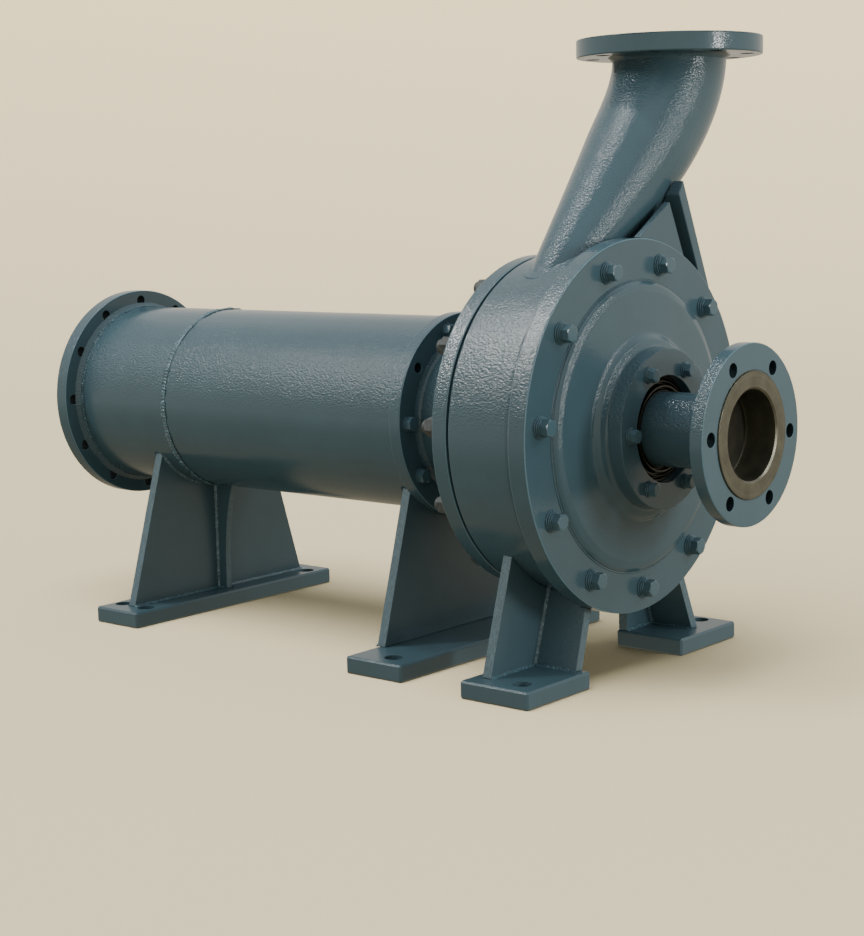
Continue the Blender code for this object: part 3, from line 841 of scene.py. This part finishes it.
def bead_run(bm, stations, size, closed=False, crown=0.42, pitch=0.0062, ripple=0.16):
    """Lay a rippled bead along stations of (corner, way along one plate, way along the other)."""
    if closed:
        stations = stations + stations[:1]
    lengths = [0.0]
    for before, after in zip(stations, stations[1:]):
        lengths.append(lengths[-1] + (after[0] - before[0]).length)
    total = lengths[-1]
    count = max(4, int(total / pitch * 4))
    rings = []
    segment = 0
    for index in range(count + (0 if closed else 1)):
        reach = total * index / count
        while segment < len(lengths) - 2 and lengths[segment + 1] < reach:
            segment += 1
        share = (reach - lengths[segment]) / max(1e-9, lengths[segment + 1] - lengths[segment])
        before, after = stations[segment], stations[segment + 1]
        corner, first, second = (early.lerp(late, share) for early, late in zip(before, after))
        tangent = (after[0] - before[0]).normalized()
        wave = abs(math.sin(math.pi * reach / pitch))
        rough = noise.noise(corner * 70.0) + 0.6 * noise.noise(corner * 260.0)
        leg = size * (0.95 + ripple * (wave - 0.5) + 1.5 * ripple * rough)
        top = crown + 0.5 * ripple * wave + 0.6 * ripple * rough
        start = corner + first * leg
        end = corner + second * leg
        middle = corner + (first + second) * leg * top
        ring = [bm.verts.new(corner - (first + second) * 0.0004)]
        for step in range(7):
            part = step / 6
            sag = tangent * 4 * part * (1 - part) * 0.0016
            ring.append(bm.verts.new(arc(start, middle, end, part) + sag))
        rings.append(ring)
    pairs = list(zip(rings, rings[1:]))
    if closed:
        pairs.append((rings[-1], rings[0]))
    else:
        bm.faces.new(rings[0])
        bm.faces.new(rings[-1])
    for first, second in pairs:
        skirt(bm, first, second)


def straight_bead(bm, start, end, first, second, leg):
    """Lay a bead in the straight corner between two plates."""
    bead_run(bm, [(start, first, second), (end, first, second)], leg)


def spoke_at(turn_angle):
    """The way out from the pump's axis at a turn about it."""
    return Vector((0, math.sin(turn_angle), math.cos(turn_angle)))


def fillet_stations(station, radius, way):
    """Stations round the pump's axis, with one plate square to it and one along it."""
    turns = even_turns(120)
    return [(around(station, radius, angle), spoke_at(angle), way) for angle in turns]


def raised_stations(station, radius):
    """Stations round the pump's axis for a bead that stands up from the tube's skin."""
    stations = []
    for angle in even_turns(120):
        rise = spoke_at(angle) * 0.42
        stations.append((around(station, radius, angle), rise + TO_FRONT, rise - TO_FRONT))
    return stations


def nozzle_root_stations(size):
    """Stations round the nozzle's root, with the bead's rear leg kept off the joint sheet."""
    line = nozzle_line()
    stations = []
    for angle in even_turns(144):
        point, direction, spoke = nozzle_skin(line, angle)[-1]
        radial = Vector((0, point.y - AXIS_Y, point.z - AXIS_Z)).normalized()
        away = (spoke - radial * spoke.dot(radial)).normalized()
        room = point.x - FACE_X - BARREL_REAR - 0.0015
        if away.x < 0:
            away *= min(1.0, max(0.1, room / size / -away.x))
        stations.append((point, -direction, away))
    return stations


def seat_reach(web):
    """Half the turn over which a saddle plate meets the tube."""
    low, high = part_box(web)
    half = 0.9 * TUBE_RADIUS
    for _ in range(20):
        seat = AXIS_Z - math.sqrt(TUBE_RADIUS**2 - half * half)
        sides = (high.y - low.y) / 2 - SADDLE_LEANS[web] * (seat - BASE_TOP)
        half = min(sides, 0.97 * TUBE_RADIUS)
    return math.asin(half / TUBE_RADIUS)


def hex_head(bm, matrix, flats, height, base, sides=48):
    """A hexagon with its corners turned off, standing on its seat."""
    circle = 0.47 * flats
    foot, wall, crown, lip = [], [], [], []
    for index in range(sides):
        angle = math.tau * index / sides
        part = (angle + math.pi / 6) % (math.pi / 3) - math.pi / 6
        reach = 0.5 * flats / math.cos(part) * 0.985
        top = base + height - (reach - circle) * 0.75
        for ring, radius, level in (
            (foot, reach, base),
            (wall, reach, top),
            (crown, circle, base + height - 0.0004),
            (lip, circle - 0.0012, base + height),
        ):
            spot = Vector((radius * math.cos(angle), radius * math.sin(angle), level))
            ring.append(bm.verts.new(matrix @ spot))
    bm.faces.new(foot)
    skirt(bm, foot, wall)
    skirt(bm, wall, crown)
    skirt(bm, crown, lip)
    bm.faces.new(lip)


def washer(bm, matrix, radius, low, high, sides=40):
    """A washer with rounded edges."""
    outline = soften([(low, 0.0), (low, radius), (high, radius), (high, 0.0)], 0.0009, 3)
    turn(bm, outline, matrix, sides)


def bolt_matrix(spot, outward, twist):
    """Stand a fastener on a spot, looking along outward."""
    turned = UP.rotation_difference(outward).to_matrix().to_4x4()
    return Matrix.Translation(spot) @ turned @ Matrix.Rotation(twist, 4, "Z")


def bolt(bm, matrix, flats, height, washers):
    """A bolt head or nut on its washers, given as (radius, thickness)."""
    level = 0.0
    for radius, thickness in washers:
        washer(bm, matrix, radius, level, level + thickness - WASHER_GAP)
        washer(bm, matrix, radius - WASHER_STEP, level, level + thickness)
        level += thickness
    hex_head(bm, matrix, flats, height, level)
    return level + height


class PUMP_OT_column(bpy.types.Operator):
    """Build the flanged tube, its front flange and the neck."""

    bl_idname = "pump.column"
    bl_label = "Column tube"
    bl_options = {"REGISTER", "UNDO"}

    def execute(self, context):
        finishes = ["blue_grey_enamel", "hole_enamel", "worn_edge"]
        bore = TUBE_RADIUS - PIPE_WALL
        rear, front, radius = REAR_FLANGE
        places = hole_places(12, REAR_HOLE_CIRCLE, (rear + front) / 2)
        bm = lathe(ring_outline(rear, front, bore, radius), 0.0022)
        bm = bored(bm, places, REAR_HOLE_RADIUS, front - rear)
        paint_edge_highlights(bm, finishes.index("worn_edge"))
        keep("rear_pipe_flange", bm, finishes, nodes=["rear_flange"])
        for name, node, low, high in (
            ("rear_tube_length", "rear_spool", front, TUBE_SEAM),
            ("long_tube", "column_tube", TUBE_SEAM, TUBE_FLANGE[0]),
        ):
            bm = lathe(ring_outline(low + HAIR, high - HAIR, bore, TUBE_RADIUS), 0.0015, sides=192)
            keep(name, bm, ["blue_grey_enamel"], nodes=[node])

        rear, front, radius = TUBE_FLANGE
        neck_bore = NECK_RADIUS - PIPE_WALL
        places = hole_places(1, TUBE_BOLT_CIRCLE, (rear + front) / 2, EMPTY_HOLE_DEG)
        bm = lathe(ring_outline(rear, front, neck_bore, radius), 0.002)
        bm = bored(bm, places, EMPTY_HOLE_RADIUS, front - rear)
        paint_edge_highlights(bm, finishes.index("worn_edge"))
        keep("tube_front_flange", bm, finishes, nodes=["column_front_flange"])
        bm = lathe(ring_outline(front + HAIR, RING_PLATE[0] - HAIR, neck_bore, NECK_RADIUS))
        keep("neck_tube", bm, ["blue_grey_enamel"], nodes=["neck_pipe"])
        return {"FINISHED"}


class PUMP_OT_casing(bpy.types.Operator):
    """Build the ring plate, the joint, the barrel, its rim and the dished cover."""

    bl_idname = "pump.casing"
    bl_label = "Casing"
    bl_options = {"REGISTER", "UNDO"}

    def execute(self, context):
        finishes = ["blue_grey_enamel", "worn_edge"]
        rear, front, radius = RING_PLATE
        bm = lathe(ring_outline(rear, front, 0.0, radius), 0.0025)
        paint_edge_highlights(bm, finishes.index("worn_edge"))
        keep("ring_plate", bm, finishes, nodes=["casing_rear_plate"])
        bm = lathe(ring_outline(front, BARREL_REAR, 0.0, JOINT_RADIUS))
        keep("joint_sheet", bm, ["joint_rubber"], nodes=["casing_gasket"])

        front_radius = BARREL_FRONT_RADIUS
        outline = [
            (BARREL_REAR, 0.0),
            (BARREL_REAR, radius, 0.003),
            (-0.047, front_radius - 0.0012, 0.010),
            (-0.042, front_radius - 0.0022, 0.003),
            (-0.0375, front_radius - 0.0002, 0.002),
            (RIM_REAR - 0.0035, front_radius + 0.0005, 0.003),
            (RIM_REAR, front_radius + 0.004, 0.001),
            (RIM_REAR, 0.0),
        ]
        bm = lathe(outline, 0.001)
        keep("barrel", bm, ["blue_grey_enamel"], nodes=["casing_drum"])

        outline = [
            (RIM_REAR + HAIR / 2, 0.0),
            (RIM_REAR + HAIR / 2, RIM_RADIUS, 0.003),
            (0.0, RIM_RADIUS, 0.0026),
            (0.0, 0.0),
        ]
        bm = lathe(outline, 0.002, sides=192)
        paint_edge_highlights(bm, finishes.index("worn_edge"))
        keep("bolted_rim", bm, finishes, nodes=["casing_front_flange"])

        outline = [
            (HAIR / 2, 0.0),
            (HAIR / 2, 0.2150, 0.0003),
            (0.0016, 0.2138, 0.0010),
            (0.0010, 0.2122, 0.0008),
            (0.0028, 0.2114, 0.0010),
            (0.0068, 0.2070, 0.0120),
            (0.0098, 0.1970, 0.0200),
            (0.0128, 0.1480, 0.0200),
            (0.0142, 0.1365, 0.0090),
            (0.0220, 0.1290, 0.0100),
            (0.0250, 0.1178, 0.0060),
            (BOSS_FACE, 0.1165, 0.0016),
            (BOSS_FACE, BOSS_BORE, 0.0014),
            (0.006, BOSS_BORE, 0.001),
            (0.006, 0.0),
        ]
        bm = lathe(outline, 0.001, steps=5, sides=192)
        keep("dished_cover", bm, ["blue_grey_enamel"], nodes=["front_cover"])
        return {"FINISHED"}


class PUMP_OT_gland(bpy.types.Operator):
    """Build the bronze rings round the shaft sleeve."""

    bl_idname = "pump.gland"
    bl_label = "Gland"
    bl_options = {"REGISTER", "UNDO"}

    def execute(self, context):
        bore = SLEEVE_RADIUS + 0.0006
        outline = [
            (0.0095, bore),
            (0.0095, 0.0772),
            (0.0350, 0.0772, 0.0006),
            (0.0350, 0.0740, 0.0006),
            (0.0290, 0.0730, 0.0010),
            (0.0290, 0.0705, 0.0010),
            (0.0390, 0.0700, 0.0008),
            (0.0400, 0.0675, 0.0010),
            (0.0310, 0.0665, 0.0010),
            (0.0310, 0.0640, 0.0010),
            (0.0430, 0.0632, 0.0010),
            (0.0430, 0.0600, 0.0010),
            (0.0340, 0.0592, 0.0008),
            (0.0340, 0.0570, 0.0006),
            (0.0410, bore + 0.0012, 0.0006),
            (0.0410, bore, 0.0004),
        ]
        bm = lathe(outline, 0.0006, sides=144)
        keep("gland_rings", bm, ["gland_bronze"], nodes=["gland_ring"])
        return {"FINISHED"}


class PUMP_OT_shaft(bpy.types.Operator):
    """Build the shaft sleeve and the coupling flange with its turned face."""

    bl_idname = "pump.shaft"
    bl_label = "Shaft and coupling"
    bl_options = {"REGISTER", "UNDO"}

    def execute(self, context):
        outline = [
            (SLEEVE_REAR, 0.0),
            (SLEEVE_REAR, SLEEVE_RADIUS, 0.001),
            (HUB_REAR - HAIR, SLEEVE_RADIUS),
            (HUB_REAR - HAIR, 0.0),
        ]
        bm = lathe(outline, 0.0005)
        keep("sleeve", bm, ["blue_grey_enamel"], "drive_shaft", nodes=["shaft_sleeve"])

        floor = MACHINED_FACE - RECESS_DEPTH
        outline = [
            (HUB_REAR, 0.0),
            (HUB_REAR, SLEEVE_RADIUS + 0.004, 0.002),
            (HUB_REAR + 0.004, HUB_RADIUS, 0.006),
            (COUPLING_REAR, HUB_RADIUS + 0.002, 0.004),
            (COUPLING_REAR, COUPLING_RADIUS, 0.0022),
            (COUPLING_FACE, COUPLING_RADIUS, 0.0020),
            (COUPLING_FACE, MACHINED_RADIUS + 0.0016, 0.0003),
            (COUPLING_FACE - 0.0010, MACHINED_RADIUS + 0.0010, 0.0003),
            (COUPLING_FACE - 0.0010, MACHINED_RADIUS, 0.0003),
            (MACHINED_FACE, MACHINED_RADIUS - 0.0004, 0.0006),
        ]
        first_ridge = MACHINED_RADIUS - 0.0010
        land = RECESS_RADIUS + 0.0020
        for index in range(int((first_ridge - land) / GROOVE_PITCH)):
            ridge = first_ridge - GROOVE_PITCH * index
            outline.append((MACHINED_FACE - GROOVE_DEPTH, ridge - GROOVE_PITCH / 2, 0.0))
            outline.append((MACHINED_FACE, ridge - GROOVE_PITCH, 0.0))
        outline += [
            (MACHINED_FACE - 0.0020, RECESS_RADIUS, 0.0004),
            (floor, RECESS_RADIUS, 0.003),
            (floor, 0.0),
        ]
        bm = lathe(outline, 0.001, sides=192)
        middle = (COUPLING_REAR + COUPLING_FACE) / 2
        places = hole_places(6, COUPLING_HOLE_CIRCLE, middle, 32.5)
        steel, bore, hole, recess, painted_light_face, edge = range(1, 7)
        thickness = COUPLING_FACE - COUPLING_REAR
        bm = bored(bm, places, COUPLING_HOLE_RADIUS, thickness, hole)
        for face in bm.faces:
            spot = face.calc_center_median()
            reach = math.hypot(spot.y - AXIS_Y, spot.z - AXIS_Z)
            station = spot.x - FACE_X
            # The recess floor takes steel darkened as painted shade, the bore's walls steel
            # lightened as painted light
            if reach < RECESS_RADIUS - 0.0002 and station > HUB_REAR + 0.001:
                face.material_index = recess
            elif reach < RECESS_RADIUS + 0.0002:
                face.material_index = bore
            elif reach < MACHINED_RADIUS + 0.0006 and station > COUPLING_FACE - 0.0012:
                face.material_index = steel
            # The coupling's outer face takes the lighter copy of the enamel: painted light
            elif reach > MACHINED_RADIUS + 0.0016 and station > COUPLING_FACE - 0.0001:
                face.material_index = painted_light_face
        paint_edge_highlights(bm, edge)
        finishes = ["blue_grey_enamel", "turned_steel", "bored_steel", "hole_enamel"]
        finishes += ["recess_steel", "pale_enamel", "worn_edge"]
        keep("coupling", bm, finishes, "drive_shaft", nodes=["coupling_flange"])
        return {"FINISHED"}


class PUMP_OT_discharge(bpy.types.Operator):
    """Build the bent nozzle, its flange and the gussets."""

    bl_idname = "pump.discharge"
    bl_label = "Discharge nozzle"
    bl_options = {"REGISTER", "UNDO"}

    def execute(self, context):
        line = nozzle_line()
        bm = bmesh.new()
        sides, rows = 112, 56
        skins = []
        for shrink in (0.0, PIPE_WALL):
            runs = []
            for index in range(sides):
                run = nozzle_skin(line, math.tau * index / sides, shrink)
                picked = [run[round((len(run) - 1) * row / (rows - 1))] for row in range(rows)]
                runs.append([bm.verts.new(point) for point, _, _ in picked])
            skins.append(list(zip(*runs)))
        outer, inner = skins
        for skin in skins:
            for upper, lower in zip(skin, skin[1:]):
                skirt(bm, upper, lower)
        skirt(bm, outer[0], inner[0])
        skirt(bm, outer[-1], inner[-1])
        lengths = ["discharge_nozzle", "nozzle_middle", "nozzle_root"]
        keep("bent_nozzle", bm, ["nozzle_enamel"], nodes=lengths, crease=60.0)

        low = OUTLET_TOP - OUTLET_THICKNESS
        outline = ring_outline(low, OUTLET_TOP, NOZZLE_RADIUS - PIPE_WALL, OUTLET_RADIUS)
        places = []
        for angle in even_turns(8, 22.5):
            across = OUTLET_X + OUTLET_HOLE_CIRCLE * math.sin(angle)
            along = OUTLET_Y + OUTLET_HOLE_CIRCLE * math.cos(angle)
            places.append(Matrix.Translation(place(across, along, low + OUTLET_THICKNESS / 2)))
        bm = lathe(outline, 0.0024, matrix=OUTLET_AXIS)
        bm = bored(bm, places, OUTLET_HOLE_RADIUS, OUTLET_THICKNESS)
        finishes = ["blue_grey_enamel", "hole_enamel"]
        keep("outlet_flange", bm, finishes, nodes=["discharge_flange"])
        dress_solid("front_gusset", "gusset_front_plate", GUSSET_EASE, (1, 0, 0))
        dress_solid("slanting_gusset", "gusset_slant_plate", GUSSET_EASE)
        return {"FINISHED"}


class PUMP_OT_supports(bpy.types.Operator):
    """Build the two supports under the tube and the two feet under the casing."""

    bl_idname = "pump.supports"
    bl_label = "Supports and feet"
    bl_options = {"REGISTER", "UNDO"}

    def execute(self, context):
        for support in ("rear_support", "mid_support", "left_foot", "right_foot"):
            dress_solid(support + "_sole", support + "_base", SOLE_EASE)
        for support in ("rear_support", "mid_support"):
            dress_solid(support + "_saddle", support + "_web", WEB_EASE, (1, 0, 0))
        dress_solid("rear_support_fin", "rear_support_rib", WEB_EASE, (0, 1, 0))
        for web, edge_axis in (("foot_cross", (1, 0, 0)), ("foot_long", (0, 1, 0))):
            for side in ("left_", "right_"):
                dress_solid(side + web + "_plate", side + web + "_web", WEB_EASE, edge_axis)
        return {"FINISHED"}


class PUMP_OT_fasteners(bpy.types.Operator):
    """Build the bolts and nuts of the cover, gland, ring plate and tube flange."""

    bl_idname = "pump.fasteners"
    bl_label = "Bolts and nuts"
    bl_options = {"REGISTER", "UNDO"}

    def execute(self, context):
        sizes = context.scene.pump_fasteners
        bm = bmesh.new()
        for index, angle in enumerate(even_turns(11, -18.7)):
            spot = around(0.0, COVER_BOLT_CIRCLE, angle)
            matrix = bolt_matrix(spot, TO_FRONT, 0.9 * index)
            bolt(bm, matrix, sizes.cover_bolt, COVER_HEAD, COVER_WASHERS)
        keep("cover_bolts", bm, ["bolt_enamel"])

        bm = bmesh.new()
        for index, angle in enumerate(even_turns(6, 30.0)):
            spot = around(BOSS_FACE, GLAND_BOLT_CIRCLE, angle)
            matrix = bolt_matrix(spot, TO_FRONT, 0.7 * index)
            bolt(bm, matrix, sizes.gland_bolt, GLAND_HEAD, GLAND_WASHERS)
        keep("gland_bolts", bm, ["bolt_enamel"])

        bm = bmesh.new()
        for index, angle in enumerate(even_turns(12, -27.0)):
            spot = around(RING_PLATE[0], RING_NUT_CIRCLE, angle)
            matrix = bolt_matrix(spot, TO_REAR, 0.5 * index)
            top = bolt(bm, matrix, RING_NUT_FLATS, RING_NUT_HEIGHT, RING_WASHERS)
            stud = [
                (top - 0.002, 0.0),
                (top - 0.002, STUD_RADIUS),
                (top + 0.0075, STUD_RADIUS, 0.003),
                (top + 0.0100, 0.0),
            ]
            turn(bm, soften(stud, 0.001), matrix, 24)
        keep("ring_plate_nuts", bm, ["nut_coating"])

        bm = bmesh.new()
        for turn_deg in TUBE_NUTS_DEG:
            spot = around(TUBE_FLANGE[1], TUBE_BOLT_CIRCLE, math.radians(turn_deg))
            matrix = bolt_matrix(spot, TO_FRONT, 0.4 * turn_deg)
            bolt(bm, matrix, sizes.tube_nut, TUBE_HEAD, TUBE_WASHERS)
        keep("tube_flange_nuts", bm, ["bolt_enamel"])
        return {"FINISHED"}


class PUMP_OT_tube_welds(bpy.types.Operator):
    """Lay the weld beads along the tube and round the nozzle."""

    bl_idname = "pump.tube_welds"
    bl_label = "Weld beads of the tube and nozzle"
    bl_options = {"REGISTER", "UNDO"}

    def execute(self, context):
        bm = bmesh.new()
        seam = raised_stations(TUBE_SEAM, TUBE_RADIUS - 0.0012)
        bead_run(bm, seam, 0.0052, True, crown=0.80, pitch=0.0052, ripple=0.34)
        keep("tube_seam_bead", bm, ["weld_bead_enamel"])
        bm = bmesh.new()
        toe = raised_stations(REAR_FLANGE[1] + 0.0085, TUBE_RADIUS - 0.0010)
        bead_run(bm, toe, 0.0034, True, crown=0.80, pitch=0.0044, ripple=0.34)
        keep("flange_toe_bead", bm, ["weld_bead_enamel"])

        bm = bmesh.new()
        for station, radius, way, size in (
            (REAR_FLANGE[1], TUBE_RADIUS, TO_FRONT, 0.0080),
            (TUBE_FLANGE[0], TUBE_RADIUS, TO_REAR, 0.0045),
            (TUBE_FLANGE[1], NECK_RADIUS, TO_FRONT, 0.0075),
            (RING_PLATE[0], NECK_RADIUS, TO_REAR, 0.0075),
        ):
            bead_run(bm, fillet_stations(station, radius, way), size, True, ripple=0.05)
        keep("tube_fillets", bm, ["blue_grey_enamel"], crease=70.0)

        bm = bmesh.new()
        root_size = 0.013
        bead_run(bm, nozzle_root_stations(root_size), root_size, True, crown=0.12, ripple=0.03)
        top = []
        for angle in even_turns(120):
            spoke = Vector((math.cos(angle), math.sin(angle), 0))
            top.append((OUTLET_SEAT + spoke * NOZZLE_RADIUS, spoke, -UP))
        bead_run(bm, top, 0.0065, True, crown=0.3, ripple=0.08)
        keep("nozzle_beads", bm, ["blue_grey_enamel"], crease=70.0)
        return {"FINISHED"}


class PUMP_OT_support_welds(bpy.types.Operator):
    """Lay the weld beads of the supports and the feet."""

    bl_idname = "pump.support_welds"
    bl_label = "Weld beads of the supports"
    bl_options = {"REGISTER", "UNDO"}

    def execute(self, context):
        leg = context.scene.pump_fasteners.bead
        bm = bmesh.new()
        for web, ways in (
            ("rear_support_web", (TO_REAR, TO_FRONT)),
            ("mid_support_web", (TO_REAR,)),
        ):
            low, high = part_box(web)
            reach = seat_reach(web)
            for way in ways:
                x = low.x if way == TO_REAR else high.x
                start, end = Vector((x, low.y, BASE_TOP)), Vector((x, high.y, BASE_TOP))
                straight_bead(bm, start, end, way, UP, leg)
                seat = []
                for step in range(25):
                    angle = math.pi - reach + 2 * reach * step / 24
                    seat.append((around(x - FACE_X, TUBE_RADIUS, angle), way, spoke_at(angle)))
                bead_run(bm, seat, leg)
        low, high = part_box("rear_support_rib")
        for y, way in ((low.y, -1), (high.y, 1)):
            side = Vector((0, way, 0))
            foot = Vector((low.x, y, BASE_TOP))
            straight_bead(bm, foot, Vector((low.x, y, high.z)), side, TO_FRONT, leg)
            straight_bead(bm, foot, foot + TO_FRONT * RIB_SEAM, side, UP, leg)
        keep("support_beads", bm, ["weld_bead_enamel"])

        bm = bmesh.new()
        outward = Vector((0, -1, 0))
        for side, corner_y, lean, edge_y in FEET:
            cross_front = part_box(side + "_foot_cross_web")[1].x - FACE_X
            long_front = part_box(side + "_foot_long_web")[1].x - FACE_X
            corner = place(cross_front, corner_y, BASE_TOP)
            top = corner + Vector((0, lean, 1)).normalized() * FOOT_SEAM
            straight_bead(bm, corner, top, TO_FRONT, outward, leg)
            straight_bead(bm, corner, place(long_front, corner_y, BASE_TOP), outward, UP, leg)
            straight_bead(bm, place(cross_front, edge_y, BASE_TOP), corner, TO_FRONT, UP, leg)
        keep("foot_beads", bm, ["weld_bead_enamel"])
        return {"FINISHED"}


def studio_floor():
    """The plain floor and backdrop in one sweep, which neither shades nor colours the pump."""
    outline = [(0.0, 0.0), (0.0, FLOOR_RADIUS)]
    for step in range(1, 33):
        angle = math.pi / 2 * step / 32
        outline.append((SWEEP * (1 - math.cos(angle)), FLOOR_RADIUS + SWEEP * math.sin(angle)))
    outline.append((WALL_TOP, FLOOR_RADIUS + SWEEP))
    bm = bmesh.new()
    turn(bm, outline, Matrix(), 96, closed=False)
    bmesh.ops.recalc_face_normals(bm, faces=bm.faces)
    bmesh.ops.reverse_faces(bm, faces=bm.faces)
    floor = linked("studio_floor", bm)
    floor.data.shade_smooth()
    floor.data.materials.append(finish("studio_paper"))
    floor.visible_diffuse = False
    floor.visible_glossy = False
    floor.visible_shadow = False
    return floor


def studio_air(strength):
    """Soft light from all round, warm and dim below and cool above."""
    world = bpy.data.worlds.new("studio_air")
    air = Sheet(world, {"Strength": strength}, "Background")
    height = air.part(air.node("ShaderNodeTexCoord", output="Generated"), 2)
    low = air.steps(height, -0.35, 0.02, "SMOOTHSTEP")
    high = air.steps(height, 0.02, 1.0)
    ground = air.blend(low, (0.45, 0.39, 0.27, 1.0), (1.05, 0.96, 0.80, 1.0))
    air.feed("Color", air.blend(high, ground, (0.92, 0.96, 0.98, 1.0)))
    return world


def studio_light(name, kind, colour, power, way, receivers):
    """A light that looks back along a way and falls on one collection."""
    light = bpy.data.lights.new(name, kind)
    light.energy = power
    light.color = colour
    holder = bpy.data.objects.new(name, light)
    bpy.context.scene.collection.objects.link(holder)
    holder.rotation_euler = way.to_track_quat("Z", "Y").to_euler()
    holder.light_linking.receiver_collection = receivers
    return holder


def softbox(name, way, width, height, power, receivers):
    """A rectangular soft light aimed at the pump."""
    spot = LIGHT_CENTRE + Vector(way) * LIGHT_DISTANCE
    holder = studio_light(name, "AREA", (1.0, 0.98, 0.95), power, spot - LIGHT_AIM, receivers)
    holder.location = spot
    holder.data.shape = "RECTANGLE"
    holder.data.size = width
    holder.data.size_y = height
    return holder


def gathered(name, pieces):
    """A collection of pieces for the lights to fall on or leave out."""
    collection = bpy.data.collections.new(name)
    for piece in pieces:
        collection.objects.link(piece)
    return collection


def photo_camera():
    """The camera at the photograph's angle."""
    camera = bpy.data.cameras.new("photo_camera")
    camera.sensor_fit = "HORIZONTAL"
    camera.sensor_width = SENSOR_WIDTH
    camera.lens = FOCAL_PIXELS / FRAME_WIDTH * SENSOR_WIDTH
    camera.clip_end = 60.0
    holder = bpy.data.objects.new("photo_camera", camera)
    bpy.context.scene.collection.objects.link(holder)
    right = Vector((math.cos(CAMERA_AZIMUTH), math.sin(CAMERA_AZIMUTH), 0))
    level = Vector((math.sin(CAMERA_AZIMUTH), -math.cos(CAMERA_AZIMUTH), 0))
    back = level * math.cos(CAMERA_PITCH) + UP * math.sin(CAMERA_PITCH)
    upward = back.cross(right)
    rolled_right = right * math.cos(CAMERA_ROLL) + upward * math.sin(CAMERA_ROLL)
    rolled_up = upward * math.cos(CAMERA_ROLL) - right * math.sin(CAMERA_ROLL)
    turned = Matrix((rolled_right, rolled_up, back)).transposed().to_4x4()
    holder.matrix_world = Matrix.Translation(place(*CAMERA_PLACE)) @ turned
    return holder


class PUMP_OT_stage(bpy.types.Operator):
    """Set up the plain floor, the backdrop, the lights and the camera."""

    bl_idname = "pump.stage"
    bl_label = "Studio"
    bl_options = {"REGISTER", "UNDO"}

    def execute(self, context):
        settings = context.scene.pump_stage
        floor = studio_floor()
        context.scene.world = studio_air(settings.air)
        unlit = gathered("unlit_floor", [floor])
        unlit.collection_objects[0].light_linking.link_state = "EXCLUDE"
        for name, way, width, height, share in SOFTBOXES:
            softbox(name, way, width, height, share * settings.key, unlit)
        glinting = gathered("glinting_pieces", [bpy.data.objects[name] for name in GLINTING_PIECES])
        name, way, width, height, share = SNOOT
        snoot = softbox(name, way, width, height, share * settings.key, glinting)
        snoot.visible_diffuse = False
        lit = gathered("lit_floor", [floor])
        warm = (1.0, 0.97, 0.92)
        sky = studio_light("floor_skylight", "SUN", warm, settings.skylight, SKYLIGHT_WAY, lit)
        sky.data.angle = SKYLIGHT_SPREAD
        context.scene.camera = photo_camera()
        return {"FINISHED"}


GROUPS = {
    "pump_finish": PumpFinish,
    "pump_fasteners": PumpFasteners,
    "pump_stage": PumpStage,
}
STEPS = [
    PUMP_OT_column,
    PUMP_OT_casing,
    PUMP_OT_gland,
    PUMP_OT_shaft,
    PUMP_OT_discharge,
    PUMP_OT_supports,
    PUMP_OT_fasteners,
    PUMP_OT_tube_welds,
    PUMP_OT_support_welds,
    PUMP_OT_stage,
]


class PUMP_PT_panel(bpy.types.Panel):
    """The pump's settings and build steps."""

    bl_idname = "PUMP_PT_panel"
    bl_label = "Axial flow pump"
    bl_space_type = "VIEW_3D"
    bl_region_type = "UI"
    bl_category = "Pump"

    def draw(self, context):
        for scene_name in GROUPS:
            group = getattr(context.scene, scene_name)
            for name in group.__annotations__:
                self.layout.prop(group, name)
        for step in STEPS:
            self.layout.operator(step.bl_idname)


def register():
    for name, group in GROUPS.items():
        bpy.utils.register_class(group)
        setattr(bpy.types.Scene, name, bpy.props.PointerProperty(type=group))
    for step in STEPS:
        bpy.utils.register_class(step)
    bpy.utils.register_class(PUMP_PT_panel)


def unregister():
    bpy.utils.unregister_class(PUMP_PT_panel)
    for step in reversed(STEPS):
        bpy.utils.unregister_class(step)
    for name, group in GROUPS.items():
        delattr(bpy.types.Scene, name)
        bpy.utils.unregister_class(group)


def main():
    register()
    for step in STEPS:
        family, action = step.bl_idname.split(".")
        getattr(getattr(bpy.ops, family), action)()


if __name__ == "__main__":
    main()
